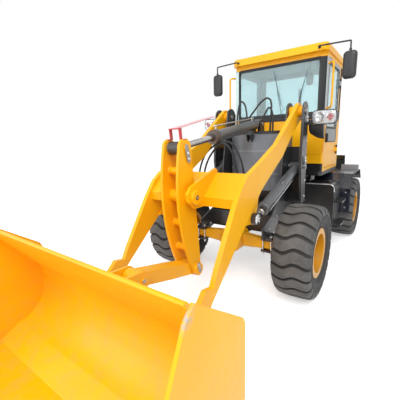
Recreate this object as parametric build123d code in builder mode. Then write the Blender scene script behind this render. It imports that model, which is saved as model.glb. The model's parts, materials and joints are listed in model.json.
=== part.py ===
from build123d import *
import os
from math import atan2, cos, degrees, hypot, pi, radians, sin

# Compact articulated wheel loader with a Z-bar bucket linkage.  Millimetres.
# +X points forward, +Y to the machine's left, +Z up.  The origin is on the
# ground, under the middle of the overall length.  Side-view tables give
# (x, z): x is measured from the front axle or the rear axle, as each says.

# ---------------------------------------------------------------- driving sizes
WHEELBASE = 2660.0
NOSE = 3000.0            # front axle to the bucket's cutting edge
TAIL = 1150.0            # rear axle to the back of the counterweight
TREAD = 1800.0           # between the tyres' middle planes
TYRE_R = 537.5
TYRE_W = 420.0
RIM_R = 276.0            # rim flange
LUG_H = 26.0             # depth of the tread bars
TYRE_DISH = 177.0        # tyre's middle plane to the rim's outer flange
HALF_BUCKET = 1140.0
CAB_LENGTH = 1120.0
RUN = 0.05               # radial clearance of a pin that turns
GAP = 6.0                # between pieces that move past each other

FRONT_X = (WHEELBASE + TAIL - NOSE) / 2
REAR_X = FRONT_X - WHEELBASE
PIVOT_X = (FRONT_X + REAR_X) / 2     # articulation pin
AXLE_Z = TYRE_R
CAB_FRONT = PIVOT_X - 70.0
CAB_BACK = CAB_FRONT - CAB_LENGTH

# ------------------------------------------------- loader linkage (x from front axle, z)
BOOM_PIVOT = (-716.0, 2156.0)
LIFT_BASE = (-750.0, 1440.0)
LIFT_PIN = (570.0, 1000.0)
TILT_BASE = (-680.0, 2030.0)
ROCKER_TOP = (1125.0, 1750.0)
ROCKER_PIVOT = (1110.0, 1290.0)
ROCKER_FOOT = (1000.0, 505.0)
LINK_PIN = (1745.0, 690.0)
BUCKET_PIN = (1730.0, 315.0)
STEER_Z = 900.0
STEER_BASE = (-520.0, 230.0)     # from the articulation pin: x, |y|
STEER_ROD = (380.0, 330.0)
STEER_EYE_H = 31.0               # half the slot between the rod's ears
ARM_Y = 557.0            # middle plane of each boom arm
ARM_T = 50.0
PIN_R = 32.0
SMALL_PIN_R = 25.0


def side(y, x=FRONT_X):
    """Side-view plane at y: local x is forward from x, local y is up."""
    return Plane(origin=(x, y, 0), x_dir=(1, 0, 0), z_dir=(0, -1, 0))


def top(z, x=FRONT_X):
    """Plan-view plane at height z, with local x forward from x."""
    return Plane(origin=(x, 0, z), x_dir=(1, 0, 0), z_dir=(0, 0, 1))


def front(x):
    """Plane across the machine at x: local x is to the left, local y is up."""
    return Plane(origin=(x, 0, 0), x_dir=(0, 1, 0), z_dir=(1, 0, 0))


def across(x, y):
    """Plane across an axle at y, with its origin on the axle at x."""
    return Plane(origin=(x, y, AXLE_Z), x_dir=(1, 0, 0), z_dir=(0, -1, 0))


def along(start, end, y):
    """Plane whose z runs from start to end of a cylinder in the side plane at y."""
    dx = end[0] - start[0]
    dz = end[1] - start[1]
    return Plane(
        origin=(FRONT_X + start[0], y, start[1]), x_dir=(0, 1, 0), z_dir=(dx, 0, dz)
    )


def reach(start, end):
    return hypot(end[0] - start[0], end[1] - start[1])


os.makedirs("parts", exist_ok=True)


def save(built, name):
    built.part.label = name
    export_step(built.part, f"parts/{name}.step")


# ================================================================ wheels
HALF_TREAD = TREAD / 2
CARCASS_R = TYRE_R - LUG_H
SHOULDER_R = TYRE_R - 10.0
WALL_R = CARCASS_R - 60.0        # top of the flat side wall
SHOULDER_W = 0.40 * TYRE_W       # half width of the tread
WALL_W = 0.50 * TYRE_W           # half width at the widest wall
BEAD_W = TYRE_DISH - 12.0
TUCK_R = RIM_R + 95.0            # foot of the flat side wall
BEAD_R = RIM_R + 12.0
BARS = 22                        # tread bars round the tyre
FACETS = 2 * BARS
GROOVE = 22.0                    # width of the groove between two bars
# run of a groove across the tread: (outward, rise on the leading face)
WAVE = (
    (-WALL_W - 10.0, 10.0),
    (-0.17 * TYRE_W, -27.0),
    (0.12 * TYRE_W, 27.0),
    (WALL_W + 10.0, -14.0),
)
DISC_FACE = 40.0                 # outer face of the rim's disc, out from the middle
DISC_BACK = 20.0
RIM_T = 14.0                     # rim barrel wall
WELL_R = RIM_R - 38.0            # inside of the bead seat
DISC_R = WELL_R - RIM_T
HUB_R = 120.0
HUB_BORE = 70.0

# (name, axle x, side): side is +1 on the left
WHEELS = (
    ("front_left", FRONT_X, 1),
    ("front_right", FRONT_X, -1),
    ("rear_left", REAR_X, 1),
    ("rear_right", REAR_X, -1),
)

for name, axle_x, hand in WHEELS:
    # local x of this plane is outward from the machine, local y is the radius
    wheel_plane = Plane(
        origin=(axle_x, hand * HALF_TREAD, AXLE_Z), x_dir=(0, hand, 0), z_dir=(hand, 0, 0)
    )
    hub_line = Axis((axle_x, 0, AXLE_Z), (0, 1, 0))

    with BuildPart() as tyre:
        # ring of flat facets, one of them level on the ground; built across the tread
        for y, radius in (
            (-WALL_W, WALL_R),
            (-SHOULDER_W, SHOULDER_R),
            (0, TYRE_R),
            (SHOULDER_W, SHOULDER_R),
            (WALL_W, WALL_R),
        ):
            with BuildSketch(across(axle_x, hand * (HALF_TREAD + y))):
                RegularPolygon(radius, FACETS, major_radius=False, rotation=180 / FACETS)
        loft(ruled=True)
        # the walls tuck in to the beads, and the bore sits on the rim
        for out in (1, -1):
            for y, radius in ((out * WALL_W, TUCK_R), (out * BEAD_W, BEAD_R)):
                with BuildSketch(across(axle_x, hand * (HALF_TREAD + y))):
                    RegularPolygon(radius, FACETS, major_radius=False, rotation=180 / FACETS)
            loft(ruled=True, mode=Mode.SUBTRACT)
        with BuildSketch(across(axle_x, hand * HALF_TREAD)):
            RegularPolygon(WELL_R, FACETS, major_radius=False, rotation=180 / FACETS)
        extrude(amount=TYRE_W, both=True, mode=Mode.SUBTRACT)
        # wavy grooves part the tread into bars
        grooves = [
            Plane(
                origin=(
                    axle_x + TYRE_R * cos(2 * pi * k / BARS),
                    hand * HALF_TREAD,
                    AXLE_Z + TYRE_R * sin(2 * pi * k / BARS),
                ),
                x_dir=(0, hand, 0),
                z_dir=(cos(2 * pi * k / BARS), 0, sin(2 * pi * k / BARS)),
            )
            for k in range(BARS)
        ]
        with BuildSketch(*grooves):
            with BuildLine():
                Polyline(
                    *[(y, hand * rise + GROOVE / 2) for y, rise in WAVE],
                    *[(y, hand * rise - GROOVE / 2) for y, rise in reversed(WAVE)],
                    close=True,
                )
            make_face()
        extrude(amount=-LUG_H, mode=Mode.SUBTRACT)
    save(tyre, f"tyre_{name}")

    with BuildPart() as rim:
        with BuildSketch(wheel_plane):
            # barrel with a flange at each end, and a disc that carries the hub
            with BuildLine():
                Polyline(
                    (-TYRE_DISH, DISC_R),
                    (-TYRE_DISH, RIM_R),
                    (-BEAD_W, RIM_R),
                    (-BEAD_W, WELL_R),
                    (BEAD_W, WELL_R),
                    (BEAD_W, RIM_R),
                    (TYRE_DISH, RIM_R),
                    (TYRE_DISH, DISC_R),
                    (DISC_FACE + 22, DISC_R),
                    (DISC_FACE, DISC_R - 40),
                    (DISC_FACE, HUB_BORE),
                    (DISC_BACK, HUB_BORE),
                    (DISC_BACK, DISC_R - 40),
                    (DISC_BACK + 16, DISC_R),
                    close=True,
                )
            make_face()
        revolve(axis=hub_line)
        # hub cap with the ring of wheel nuts standing on the disc
        with BuildSketch(wheel_plane):
            with BuildLine():
                Polyline(
                    (DISC_FACE, 0), (112, 0), (104, 62), (78, HUB_R - 10), (DISC_FACE, HUB_R), close=True
                )
            make_face()
        revolve(axis=hub_line)
    save(rim, f"rim_{name}")

# ================================================================ axles
BEAM_HALF = 62.0
TRUNNION_R = 70.0
BEAM_START = 110.0
BEAM_FROM = 400.0          # the beam is square from here out
BEAM_CHAMFER = 18.0
DRUM_FROM = 560.0          # round hub carrier from here out

for name, axle_x in (("front", FRONT_X), ("rear", REAR_X)):
    with BuildPart() as axle:
        # tapered beam on each side of the round differential housing
        for hand in (1, -1):
            with BuildSketch(across(axle_x, hand * BEAM_START)) as root:
                Rectangle(190, 170)
                chamfer(root.vertices(), 40)
            with BuildSketch(across(axle_x, hand * BEAM_FROM)) as beam:
                Rectangle(2 * BEAM_HALF, 2 * BEAM_HALF)
                chamfer(beam.vertices(), BEAM_CHAMFER)
            loft(ruled=True)
            with BuildSketch(across(axle_x, hand * BEAM_FROM)) as beam:
                Rectangle(2 * BEAM_HALF, 2 * BEAM_HALF)
                chamfer(beam.vertices(), BEAM_CHAMFER)
            extrude(amount=-hand * (DRUM_FROM - BEAM_FROM))
            with BuildSketch(across(axle_x, hand * DRUM_FROM)):
                Circle(95)
            extrude(amount=-hand * (HALF_TREAD - 40 - DRUM_FROM))
            with BuildSketch(across(axle_x, hand * (HALF_TREAD - 40))):
                Circle(HUB_BORE - RUN)
            extrude(amount=-hand * (DISC_FACE - 1 + 40))
        with BuildSketch(Plane.YZ.offset(axle_x)):
            with Locations((0, AXLE_Z)):
                Circle(165)
        extrude(amount=120, both=True)
        # drive flange behind the front housing; trunnions on both ends of the rear one
        for end in (-1,) if name == "front" else (1, -1):
            with BuildSketch(Plane.YZ.offset(axle_x + end * 118)):
                with Locations((0, AXLE_Z)):
                    Circle(TRUNNION_R - RUN)
            extrude(amount=end * 90)
    save(axle, f"{name}_axle")

# ================================================================ front frame
TOWER_IN_Y = 448.0
TOWER_IN_T = 20.0
TOWER_OUT_Y = 651.0
TOWER_OUT_T = 16.0
TOWER_TOP_R = 120.0
SADDLE_Z = AXLE_Z + BEAM_HALF          # the axle's flat top
EAR_T = 40.0                           # front frame's articulation ears
EAR_R = 105.0
UPPER_EAR_Z = 1060.0
LOWER_EAR_Z = SADDLE_Z + 40.0
EAR_FROM = -860.0                      # x from front axle where the ears widen out

# x from the front axle, z
INNER_TOWER = (
    (-836.0, 2156.0),
    (-836.0, 1000.0),
    (-980.0, 700.0),
    (-980.0, SADDLE_Z + 20.0),
    (-200.0, SADDLE_Z + 20.0),
    (-120.0, SADDLE_Z),
    (110.0, SADDLE_Z),
    (140.0, 760.0),
    (-150.0, 860.0),
    (-420.0, 1080.0),
    (-470.0, 1500.0),
    (-596.0, 2156.0),
)
OUTER_TOWER = (
    (-836.0, 2156.0),
    (-836.0, 960.0),
    (-640.0, 960.0),
    (-560.0, 1500.0),
    (-596.0, 2156.0),
)

with BuildPart() as front_frame:
    for hand in (1, -1):
        for y, thick, outline in (
            (TOWER_IN_Y, TOWER_IN_T, INNER_TOWER),
            (TOWER_OUT_Y, TOWER_OUT_T, OUTER_TOWER),
        ):
            with BuildSketch(side(hand * y)):
                with BuildLine():
                    Polyline(*outline, close=True)
                make_face()
                with Locations(BOOM_PIVOT):
                    Circle(TOWER_TOP_R)
            extrude(amount=thick / 2, both=True)
        # back wall of the open-fronted tower, and its floor
        tower_gap = TOWER_OUT_Y - TOWER_IN_Y
        with BuildSketch(front(FRONT_X - 836)):
            with Locations((hand * (TOWER_IN_Y + tower_gap / 2), 1330)):
                Rectangle(tower_gap, 740)
        extrude(amount=12)
        with BuildSketch(top(960)):
            with Locations((-738, hand * (TOWER_IN_Y + tower_gap / 2))):
                Rectangle(196, tower_gap)
        extrude(amount=14)
        # pad that seats on the axle
        with BuildSketch(top(SADDLE_Z)):
            with Locations((0, hand * 490)):
                Rectangle(200, 130)
        extrude(amount=30)
    # cross plates between the inner towers
    between = 2 * TOWER_IN_Y
    for x, low, high, thick in (
        (-836.0, SADDLE_Z + 20.0, 1840.0, 14.0),
        (-160.0, SADDLE_Z + 20.0, 850.0, 14.0),
    ):
        with BuildSketch(front(FRONT_X + x)):
            with Locations((0, (low + high) / 2)):
                Rectangle(between, high - low)
        extrude(amount=thick)
    with BuildSketch(top(SADDLE_Z + 20)):
        with Locations((-498, 0)):
            Rectangle(690, between)
    extrude(amount=16)
    # articulation ears reach back to the pin
    ear_back = PIVOT_X - FRONT_X
    for ear_z in (UPPER_EAR_Z, LOWER_EAR_Z):
        with BuildSketch(top(ear_z - EAR_T / 2)):
            with BuildLine():
                Polyline(
                    (EAR_FROM + 30, -300),
                    (EAR_FROM + 30, 300),
                    (EAR_FROM, 300),
                    (ear_back, EAR_R),
                    (ear_back, -EAR_R),
                    (EAR_FROM, -300),
                    close=True,
                )
            make_face()
            with Locations((ear_back, 0)):
                Circle(EAR_R)
        extrude(amount=EAR_T)
    with BuildSketch(top(0)):
        with Locations((ear_back, 0)):
            Circle(40 + RUN)
    extrude(amount=2000, mode=Mode.SUBTRACT)
    # ears of the steering rods, with the ends of their pins
    for hand in (1, -1):
        for up in (1, -1):
            ear_face = STEER_Z + up * STEER_EYE_H
            with BuildSketch(top(ear_face)):
                with Locations(((ear_back + STEER_ROD[0] - 836) / 2, hand * STEER_ROD[1])):
                    Rectangle(-836 - ear_back - STEER_ROD[0], 90)
                with Locations((ear_back + STEER_ROD[0], hand * STEER_ROD[1])):
                    Circle(45)
            extrude(amount=up * 16)
            with BuildSketch(top(ear_face)):
                with Locations((ear_back + STEER_ROD[0], hand * STEER_ROD[1])):
                    Circle(20)
            extrude(amount=up * 24)
    # pin holes through the towers
    for pin_at in (BOOM_PIVOT, LIFT_BASE):
        for hand in (1, -1):
            with BuildSketch(side(hand * (TOWER_IN_Y - 40))):
                with Locations(pin_at):
                    Circle(PIN_R)
            extrude(amount=-hand * 300, mode=Mode.SUBTRACT)
save(front_frame, "front_frame")

# grey panel between the towers, bowed forward, with its black rim and the
# bracket that carries the bucket cylinder
PANEL_TOP = 1912.0
PANEL_LOW = 1100.0
PANEL_HALF = TOWER_IN_Y - TOWER_IN_T / 2
PANEL_X = -700.0
PANEL_BOW = 190.0
PANEL_T = 8.0

with BuildPart() as front_panel:
    with BuildSketch(top(PANEL_LOW)):
        with BuildLine():
            ThreePointArc(
                (PANEL_X, PANEL_HALF), (PANEL_X + PANEL_BOW, 0), (PANEL_X, -PANEL_HALF)
            )
            Line((PANEL_X, -PANEL_HALF), (PANEL_X - PANEL_T, -PANEL_HALF))
            ThreePointArc(
                (PANEL_X - PANEL_T, -PANEL_HALF),
                (PANEL_X + PANEL_BOW - PANEL_T, 0),
                (PANEL_X - PANEL_T, PANEL_HALF),
            )
            Line((PANEL_X - PANEL_T, PANEL_HALF), (PANEL_X, PANEL_HALF))
        make_face()
    extrude(amount=PANEL_TOP - PANEL_LOW)
save(front_panel, "front_panel")

BRACKET_IN = 52.0
BRACKET_T = 26.0
DECK_T = 12.0
with BuildPart() as tower_deck:
    # plate that closes the top of the bowed panel, between the towers
    with BuildSketch(top(PANEL_TOP)):
        with BuildLine():
            ThreePointArc(
                (PANEL_X + 6, PANEL_HALF), (PANEL_X + PANEL_BOW + 12, 0), (PANEL_X + 6, -PANEL_HALF)
            )
            Polyline(
                (PANEL_X + 6, -PANEL_HALF),
                (-836 + 14, -PANEL_HALF),
                (-836 + 14, PANEL_HALF),
                (PANEL_X + 6, PANEL_HALF),
            )
        make_face()
    extrude(amount=DECK_T)
    # two ears for the bucket cylinder's base pin
    for hand in (1, -1):
        with BuildSketch(side(hand * (BRACKET_IN + BRACKET_T / 2))):
            with BuildLine():
                Polyline(
                    (TILT_BASE[0] - 70, PANEL_TOP + 1),
                    (TILT_BASE[0] - 58, TILT_BASE[1]),
                    (TILT_BASE[0] + 58, TILT_BASE[1]),
                    (TILT_BASE[0] + 70, PANEL_TOP + 1),
                    close=True,
                )
            make_face()
            with Locations(TILT_BASE):
                Circle(62)
        extrude(amount=BRACKET_T / 2, both=True)
    with BuildSketch(side(0)):
        with Locations(TILT_BASE):
            Circle(SMALL_PIN_R)
    extrude(amount=300, both=True, mode=Mode.SUBTRACT)
save(tower_deck, "tower_deck")

# pins that stay in the front frame: boom pivots, lift cylinder bases
with BuildPart() as tower_pins:
    for hand in (1, -1):
        for pin_at in (BOOM_PIVOT, LIFT_BASE):
            with BuildSketch(side(hand * (TOWER_IN_Y - 22))):
                with Locations(pin_at):
                    Circle(PIN_R)
            extrude(amount=-hand * (TOWER_OUT_Y - TOWER_IN_Y + 44))
    with BuildSketch(side(0)):
        with Locations(TILT_BASE):
            Circle(SMALL_PIN_R)
    extrude(amount=BRACKET_IN + BRACKET_T + 8, both=True)
save(tower_pins, "tower_pins")

# ================================================================ boom
ARM_OUTLINE = (
    (-665.0, 2245.0),
    (-364.0, 2043.0),
    (73.0, 1752.0),
    (494.0, 1582.0),
    (790.0, 1472.0),
    (905.0, 1385.0),
    (1036.0, 1216.0),
    (1349.0, 735.0),
    (1415.0, 612.0),
    (1522.0, 634.0),
    (1790.0, 385.0),
    (1650.0, 250.0),
    (1434.0, 492.0),
    (1236.0, 660.0),
    (856.0, 986.0),
    (470.0, 1296.0),
    (-128.0, 1612.0),
    (-359.0, 1796.0),
    (-775.0, 2066.0),
)
BEAM_SECTION = (
    (966.0, 1180.0),
    (966.0, 1270.0),
    (720.0, 1486.0),
    (640.0, 1470.0),
    (600.0, 1320.0),
    (700.0, 1180.0),
)
ROCKER_EARS = (
    (1206.0, 1258.0),
    (1212.0, 1330.0),
    (1168.0, 1392.0),
    (990.0, 1455.0),
    (737.0, 1534.0),
    (700.0, 1504.0),
    (917.0, 1177.0),
    (1110.0, 1180.0),
)
LIFT_EARS = (
    (400.0, 1345.0),
    (500.0, 985.0),
    (560.0, 928.0),
    (640.0, 955.0),
    (880.0, 975.0),
    (660.0, 1230.0),
)
ROCKER_RECESS = (
    (890.0, 1000.0),
    (890.0, 1345.0),
    (800.0, 1425.0),
    (900.0, 1600.0),
    (1200.0, 1600.0),
    (1200.0, 1000.0),
)
ROCKER_EAR_Y = 172.0
ROCKER_EAR_T = 30.0
LIFT_EAR_T = 20.0
BOSS_R = 95.0
ARM_END_R = 108.0

with BuildPart() as boom:
    for hand in (1, -1):
        with BuildSketch(side(hand * ARM_Y)):
            with BuildLine():
                Polyline(*ARM_OUTLINE, close=True)
            make_face()
            with Locations(BOOM_PIVOT):
                Circle(ARM_END_R)
            with Locations(BUCKET_PIN):
                Circle(BOSS_R)
        extrude(amount=ARM_T / 2, both=True)
        # hub of the boom pivot fills the tower's width
        with BuildSketch(side(hand * (TOWER_IN_Y + TOWER_IN_T / 2 + 1.5))):
            with Locations(BOOM_PIVOT):
                Circle(70)
        extrude(amount=-hand * (TOWER_OUT_Y - TOWER_IN_Y - (TOWER_IN_T + TOWER_OUT_T) / 2 - 3))
        # ears that carry the lift cylinder's rod
        for out in (1, -1):
            ear_y = ARM_Y + out * (ARM_T + LIFT_EAR_T) / 2
            with BuildSketch(side(hand * ear_y)):
                with BuildLine():
                    Polyline(*LIFT_EARS, close=True)
                make_face()
            extrude(amount=LIFT_EAR_T / 2, both=True)
        # gusset under the cross beam's front face, along the arm
        gusset = Plane(
            origin=(FRONT_X + 960, hand * (ARM_Y - ARM_T / 2), 1190),
            x_dir=(0, -hand, 0),
            z_dir=(hand * 0.81, 0, hand * 0.58),
        )
        with BuildSketch(gusset):
            with BuildLine():
                Polyline((0, 0), (210, 0), (0, -330), close=True)
            make_face()
        extrude(amount=-hand * 20)
    with BuildSketch(side(0)):
        with BuildLine():
            Polyline(*BEAM_SECTION, close=True)
        make_face()
    extrude(amount=ARM_Y - ARM_T / 2, both=True)
    for hand in (1, -1):
        with BuildSketch(side(hand * ROCKER_EAR_Y)):
            with BuildLine():
                Polyline(*ROCKER_EARS, close=True)
            make_face()
        extrude(amount=ROCKER_EAR_T / 2, both=True)
    # the rocker swings in a recess of the beam's front
    with BuildSketch(side(0)):
        with BuildLine():
            Polyline(*ROCKER_RECESS, close=True)
        make_face()
    extrude(amount=ROCKER_EAR_Y - ROCKER_EAR_T / 2, both=True, mode=Mode.SUBTRACT)
    # pin holes
    for pin_at, pin_r in (
        (BOOM_PIVOT, PIN_R + RUN),
        (ROCKER_PIVOT, PIN_R + RUN),
        (BUCKET_PIN, PIN_R + RUN),
    ):
        with BuildSketch(side(0)):
            with Locations(pin_at):
                Circle(pin_r)
        extrude(amount=800, both=True, mode=Mode.SUBTRACT)
    # heads of the lift pins, pressed into their ears: the pin's middle goes with the rod
    for hand in (1, -1):
        for out in (1, -1):
            with BuildSketch(side(hand * (ARM_Y + out * (ARM_T / 2 + LIFT_EAR_T / 2)))):
                with Locations(LIFT_PIN):
                    Circle(SMALL_PIN_R)
            extrude(amount=-hand * out * (LIFT_EAR_T / 2 + 10))
save(boom, "boom")

EYE_HALF = ARM_T / 2 - 3.0             # lift rod eye between its ears

# ================================================================ rocker and link
ROCKER_Y = 95.0
ROCKER_T = 28.0
ROCKER_IN = ROCKER_Y - ROCKER_T / 2
ROCKER_HUB_R = 62.0
PIN_CAP_GAP = 0.5                      # between a pin's cap and the plate under it
LINK_HALF = ROCKER_IN - GAP

with BuildPart() as rocker:
    for hand in (1, -1):
        with BuildSketch(side(hand * ROCKER_Y)):
            with BuildLine():
                Line((938, 500), (1041, 1750))
                ThreePointArc((1041, 1750), (1128, 1836), (1212, 1750))
                ThreePointArc((1212, 1750), (1256, 1290), (1064, 500))
                ThreePointArc((1064, 500), (1001, 438), (938, 500))
            make_face()
        extrude(amount=ROCKER_T / 2, both=True)
    # spacer tubes between the plates: (x, z, radius)
    for x, z, r in (
        (1130.0, 1535.0, 38.0),
        (ROCKER_PIVOT[0], ROCKER_PIVOT[1], ROCKER_HUB_R),
        (1095.0, 1010.0, 38.0),
        (1060.0, 745.0, 38.0),
    ):
        with BuildSketch(side(0)):
            with Locations((x, z)):
                Circle(r)
        extrude(amount=ROCKER_Y, both=True)
    with BuildSketch(side(0)):
        with Locations(ROCKER_PIVOT):
            Circle(ROCKER_HUB_R)
    extrude(amount=ROCKER_EAR_Y - ROCKER_EAR_T / 2 - 1.5, both=True)
    for pin_at, pin_r in (
        (ROCKER_PIVOT, PIN_R + RUN),
        (ROCKER_FOOT, PIN_R + RUN),
    ):
        with BuildSketch(side(0)):
            with Locations(pin_at):
                Circle(pin_r)
        extrude(amount=400, both=True, mode=Mode.SUBTRACT)
    # heads of the top pin, pressed into the plates
    for hand in (1, -1):
        with BuildSketch(side(hand * ROCKER_Y)):
            with Locations(ROCKER_TOP):
                Circle(SMALL_PIN_R)
        extrude(amount=-hand * (ROCKER_T / 2 + 10))
save(rocker, "rocker")

# pins with a retaining cap at each end: centre, plate's outer face, cap radius, cap thickness
for name, pin_at, face_y, cap_r, cap_t in (
    ("rocker_pivot_pin", ROCKER_PIVOT, ROCKER_EAR_Y + ROCKER_EAR_T / 2, 72.0, 30.0),
    ("link_rear_pin", ROCKER_FOOT, ROCKER_Y + ROCKER_T / 2, 66.0, 26.0),
):
    with BuildPart() as capped_pin:
        with BuildSketch(side(0)):
            with Locations(pin_at):
                Circle(PIN_R)
        extrude(amount=face_y + PIN_CAP_GAP, both=True)
        for hand in (1, -1):
            with BuildSketch(side(hand * (face_y + PIN_CAP_GAP))):
                with Locations(pin_at):
                    Circle(cap_r)
            extrude(amount=-hand * cap_t)
        chamfer(capped_pin.edges().group_by(Axis.Y)[0], 5)
        chamfer(capped_pin.edges().group_by(Axis.Y)[-1], 5)
    save(capped_pin, name)

LINK_EYE_R = 72.0
link_angle = degrees(atan2(LINK_PIN[1] - ROCKER_FOOT[1], LINK_PIN[0] - ROCKER_FOOT[0]))
link_reach = reach(ROCKER_FOOT, LINK_PIN)
link_plane = Plane(
    origin=(FRONT_X + ROCKER_FOOT[0], 0, ROCKER_FOOT[1]),
    x_dir=(cos(radians(link_angle)), 0, sin(radians(link_angle))),
    z_dir=(0, -1, 0),
)
with BuildPart() as bucket_link:
    with BuildSketch(link_plane):
        with BuildLine():
            Polyline(
                (0, -58),
                (0, 58),
                (0.45 * link_reach, 64),
                (link_reach, 58),
                (link_reach, -58),
                (0.45 * link_reach, -64),
                close=True,
            )
        make_face()
        with Locations((0, 0), (link_reach, 0)):
            Circle(LINK_EYE_R)
        Circle(PIN_R + RUN, mode=Mode.SUBTRACT)
    extrude(amount=LINK_HALF, both=True)
save(bucket_link, "bucket_link")

# ================================================================ bucket
WALL = 20.0              # bucket sheet
EDGE_LOW = 10.0          # underside of the cutting edge above the ground
EDGE_T = 22.0
FLOOR = EDGE_LOW + EDGE_T
LIP = (2435.0, 1170.0)
SIDE_PLATE = (
    (2400.0, 1172.0),
    (1972.0, 866.0),
    (1950.0, 820.0),
    (1950.0, 330.0),
    (2105.0, 120.0),
    (2330.0, FLOOR),
    (2975.0, FLOOR),
    (2985.0, 75.0),
    (2560.0, 900.0),
    (2462.0, 1110.0),
)
EAR_TH = 25.0
HINGE_EARS = (
    (1690.0, 402.0),
    (1640.0, 330.0),
    (1690.0, 232.0),
    (2150.0, 80.0),
    (2200.0, 110.0),
    (1990.0, 330.0),
    (2010.0, 560.0),
)
LINK_EARS = (
    (1745.0, 770.0),
    (1670.0, 690.0),
    (1745.0, 612.0),
    (2000.0, 420.0),
    (2060.0, 620.0),
    (2180.0, 800.0),
)
BUCKET_IN = HALF_BUCKET - WALL
# curved back between the lip's sheet and the floor: start, middle, end; then the floor's start
BOWL_IN = ((2090.0, 730.0), (1987.0, 430.0), (2255.0, 141.0))
BOWL_OUT = ((2074.0, 741.0), (1966.0, 430.0), (2246.0, 122.0))
FLOOR_FROM_IN = 2440.0
FLOOR_FROM_OUT = 2434.0
LIP_BACK = (LIP[0] - 15, LIP[1] + 13)
LIP_FRONT = (LIP[0] + 25, LIP[1])
MOUTH = 230.0            # cutter's height above the lip


def bowl_line(lip, back, floor, *mouth):
    """Side line of the bowl: lip, curved back, floor, and what closes it."""
    Line(lip, back[0])
    ThreePointArc(*back)
    Polyline(back[2], floor, *mouth, lip)



with BuildPart() as bucket:
    # outside of the curved sheet, full width
    with BuildSketch(side(0)):
        with BuildLine():
            bowl_line(
                LIP_BACK,
                BOWL_OUT,
                (FLOOR_FROM_OUT, FLOOR),
                (NOSE - 60, FLOOR),
                (NOSE - 60, FLOOR + 60),
                LIP_FRONT,
            )
        make_face()
    extrude(amount=BUCKET_IN, both=True)
    # inside
    with BuildSketch(side(0)):
        with BuildLine():
            bowl_line(
                LIP,
                BOWL_IN,
                (FLOOR_FROM_IN, FLOOR + WALL),
                (NOSE, FLOOR + WALL),
                (NOSE + 100, LIP[1] + MOUTH),
                (LIP[0] + 60, LIP[1] + MOUTH),
            )
        make_face()
    extrude(amount=BUCKET_IN + 40, both=True, mode=Mode.SUBTRACT)
    for hand in (1, -1):
        with BuildSketch(side(hand * (HALF_BUCKET - WALL / 2))):
            with BuildLine():
                Polyline(*SIDE_PLATE, close=True)
            make_face()
        extrude(amount=WALL / 2, both=True)
        # hinge ears: a pair beside each arm, and a pair for the link
        for out in (1, -1):
            with BuildSketch(side(hand * (ARM_Y + out * (ARM_T / 2 + GAP + EAR_TH / 2)))):
                with BuildLine():
                    Polyline(*HINGE_EARS, close=True)
                make_face()
                with Locations(BUCKET_PIN):
                    Circle(88)
            extrude(amount=EAR_TH / 2, both=True)
        with BuildSketch(side(hand * (LINK_HALF + GAP + EAR_TH / 2))):
            with BuildLine():
                Polyline(*LINK_EARS, close=True)
            make_face()
            with Locations(LINK_PIN):
                Circle(80)
        extrude(amount=EAR_TH / 2, both=True)
    # keep the bowl free of the ears
    with BuildSketch(side(0)):
        with BuildLine():
            bowl_line(LIP, BOWL_IN, (FLOOR_FROM_IN, FLOOR + WALL), (NOSE, FLOOR + WALL))
        make_face()
    extrude(amount=BUCKET_IN - 1, both=True, mode=Mode.SUBTRACT)
    with BuildSketch(side(0)):
        with Locations(BUCKET_PIN):
            Circle(PIN_R + RUN)
    extrude(amount=900, both=True, mode=Mode.SUBTRACT)
    # heads of the link's pin, pressed into its ears
    for hand in (1, -1):
        with BuildSketch(side(hand * (LINK_HALF + GAP + EAR_TH / 2))):
            with Locations(LINK_PIN):
                Circle(SMALL_PIN_R)
        extrude(amount=-hand * (EAR_TH / 2 + 10))
save(bucket, "bucket")

with BuildPart() as cutting_edge:
    with BuildSketch(side(0)):
        with BuildLine():
            Polyline(
                (NOSE - 260, EDGE_LOW),
                (NOSE - 260, FLOOR),
                (NOSE - 40, FLOOR),
                (NOSE, EDGE_LOW + 4),
                (NOSE, EDGE_LOW),
                close=True,
            )
        make_face()
    extrude(amount=HALF_BUCKET, both=True)
save(cutting_edge, "cutting_edge")

with BuildPart() as bucket_pins:
    for hand in (1, -1):
        with BuildSketch(side(hand * ARM_Y)):
            with Locations(BUCKET_PIN):
                Circle(PIN_R)
        extrude(amount=ARM_T / 2 + GAP + EAR_TH + 10, both=True)
save(bucket_pins, "bucket_hinge_pins")

# ================================================================ cylinders
ROD_NECK = 150.0         # rod pin to the round part of the rod
ROD_EYE_R = 62.0
BARREL_FROM = 85.0       # base pin to the barrel's closed end
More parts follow.
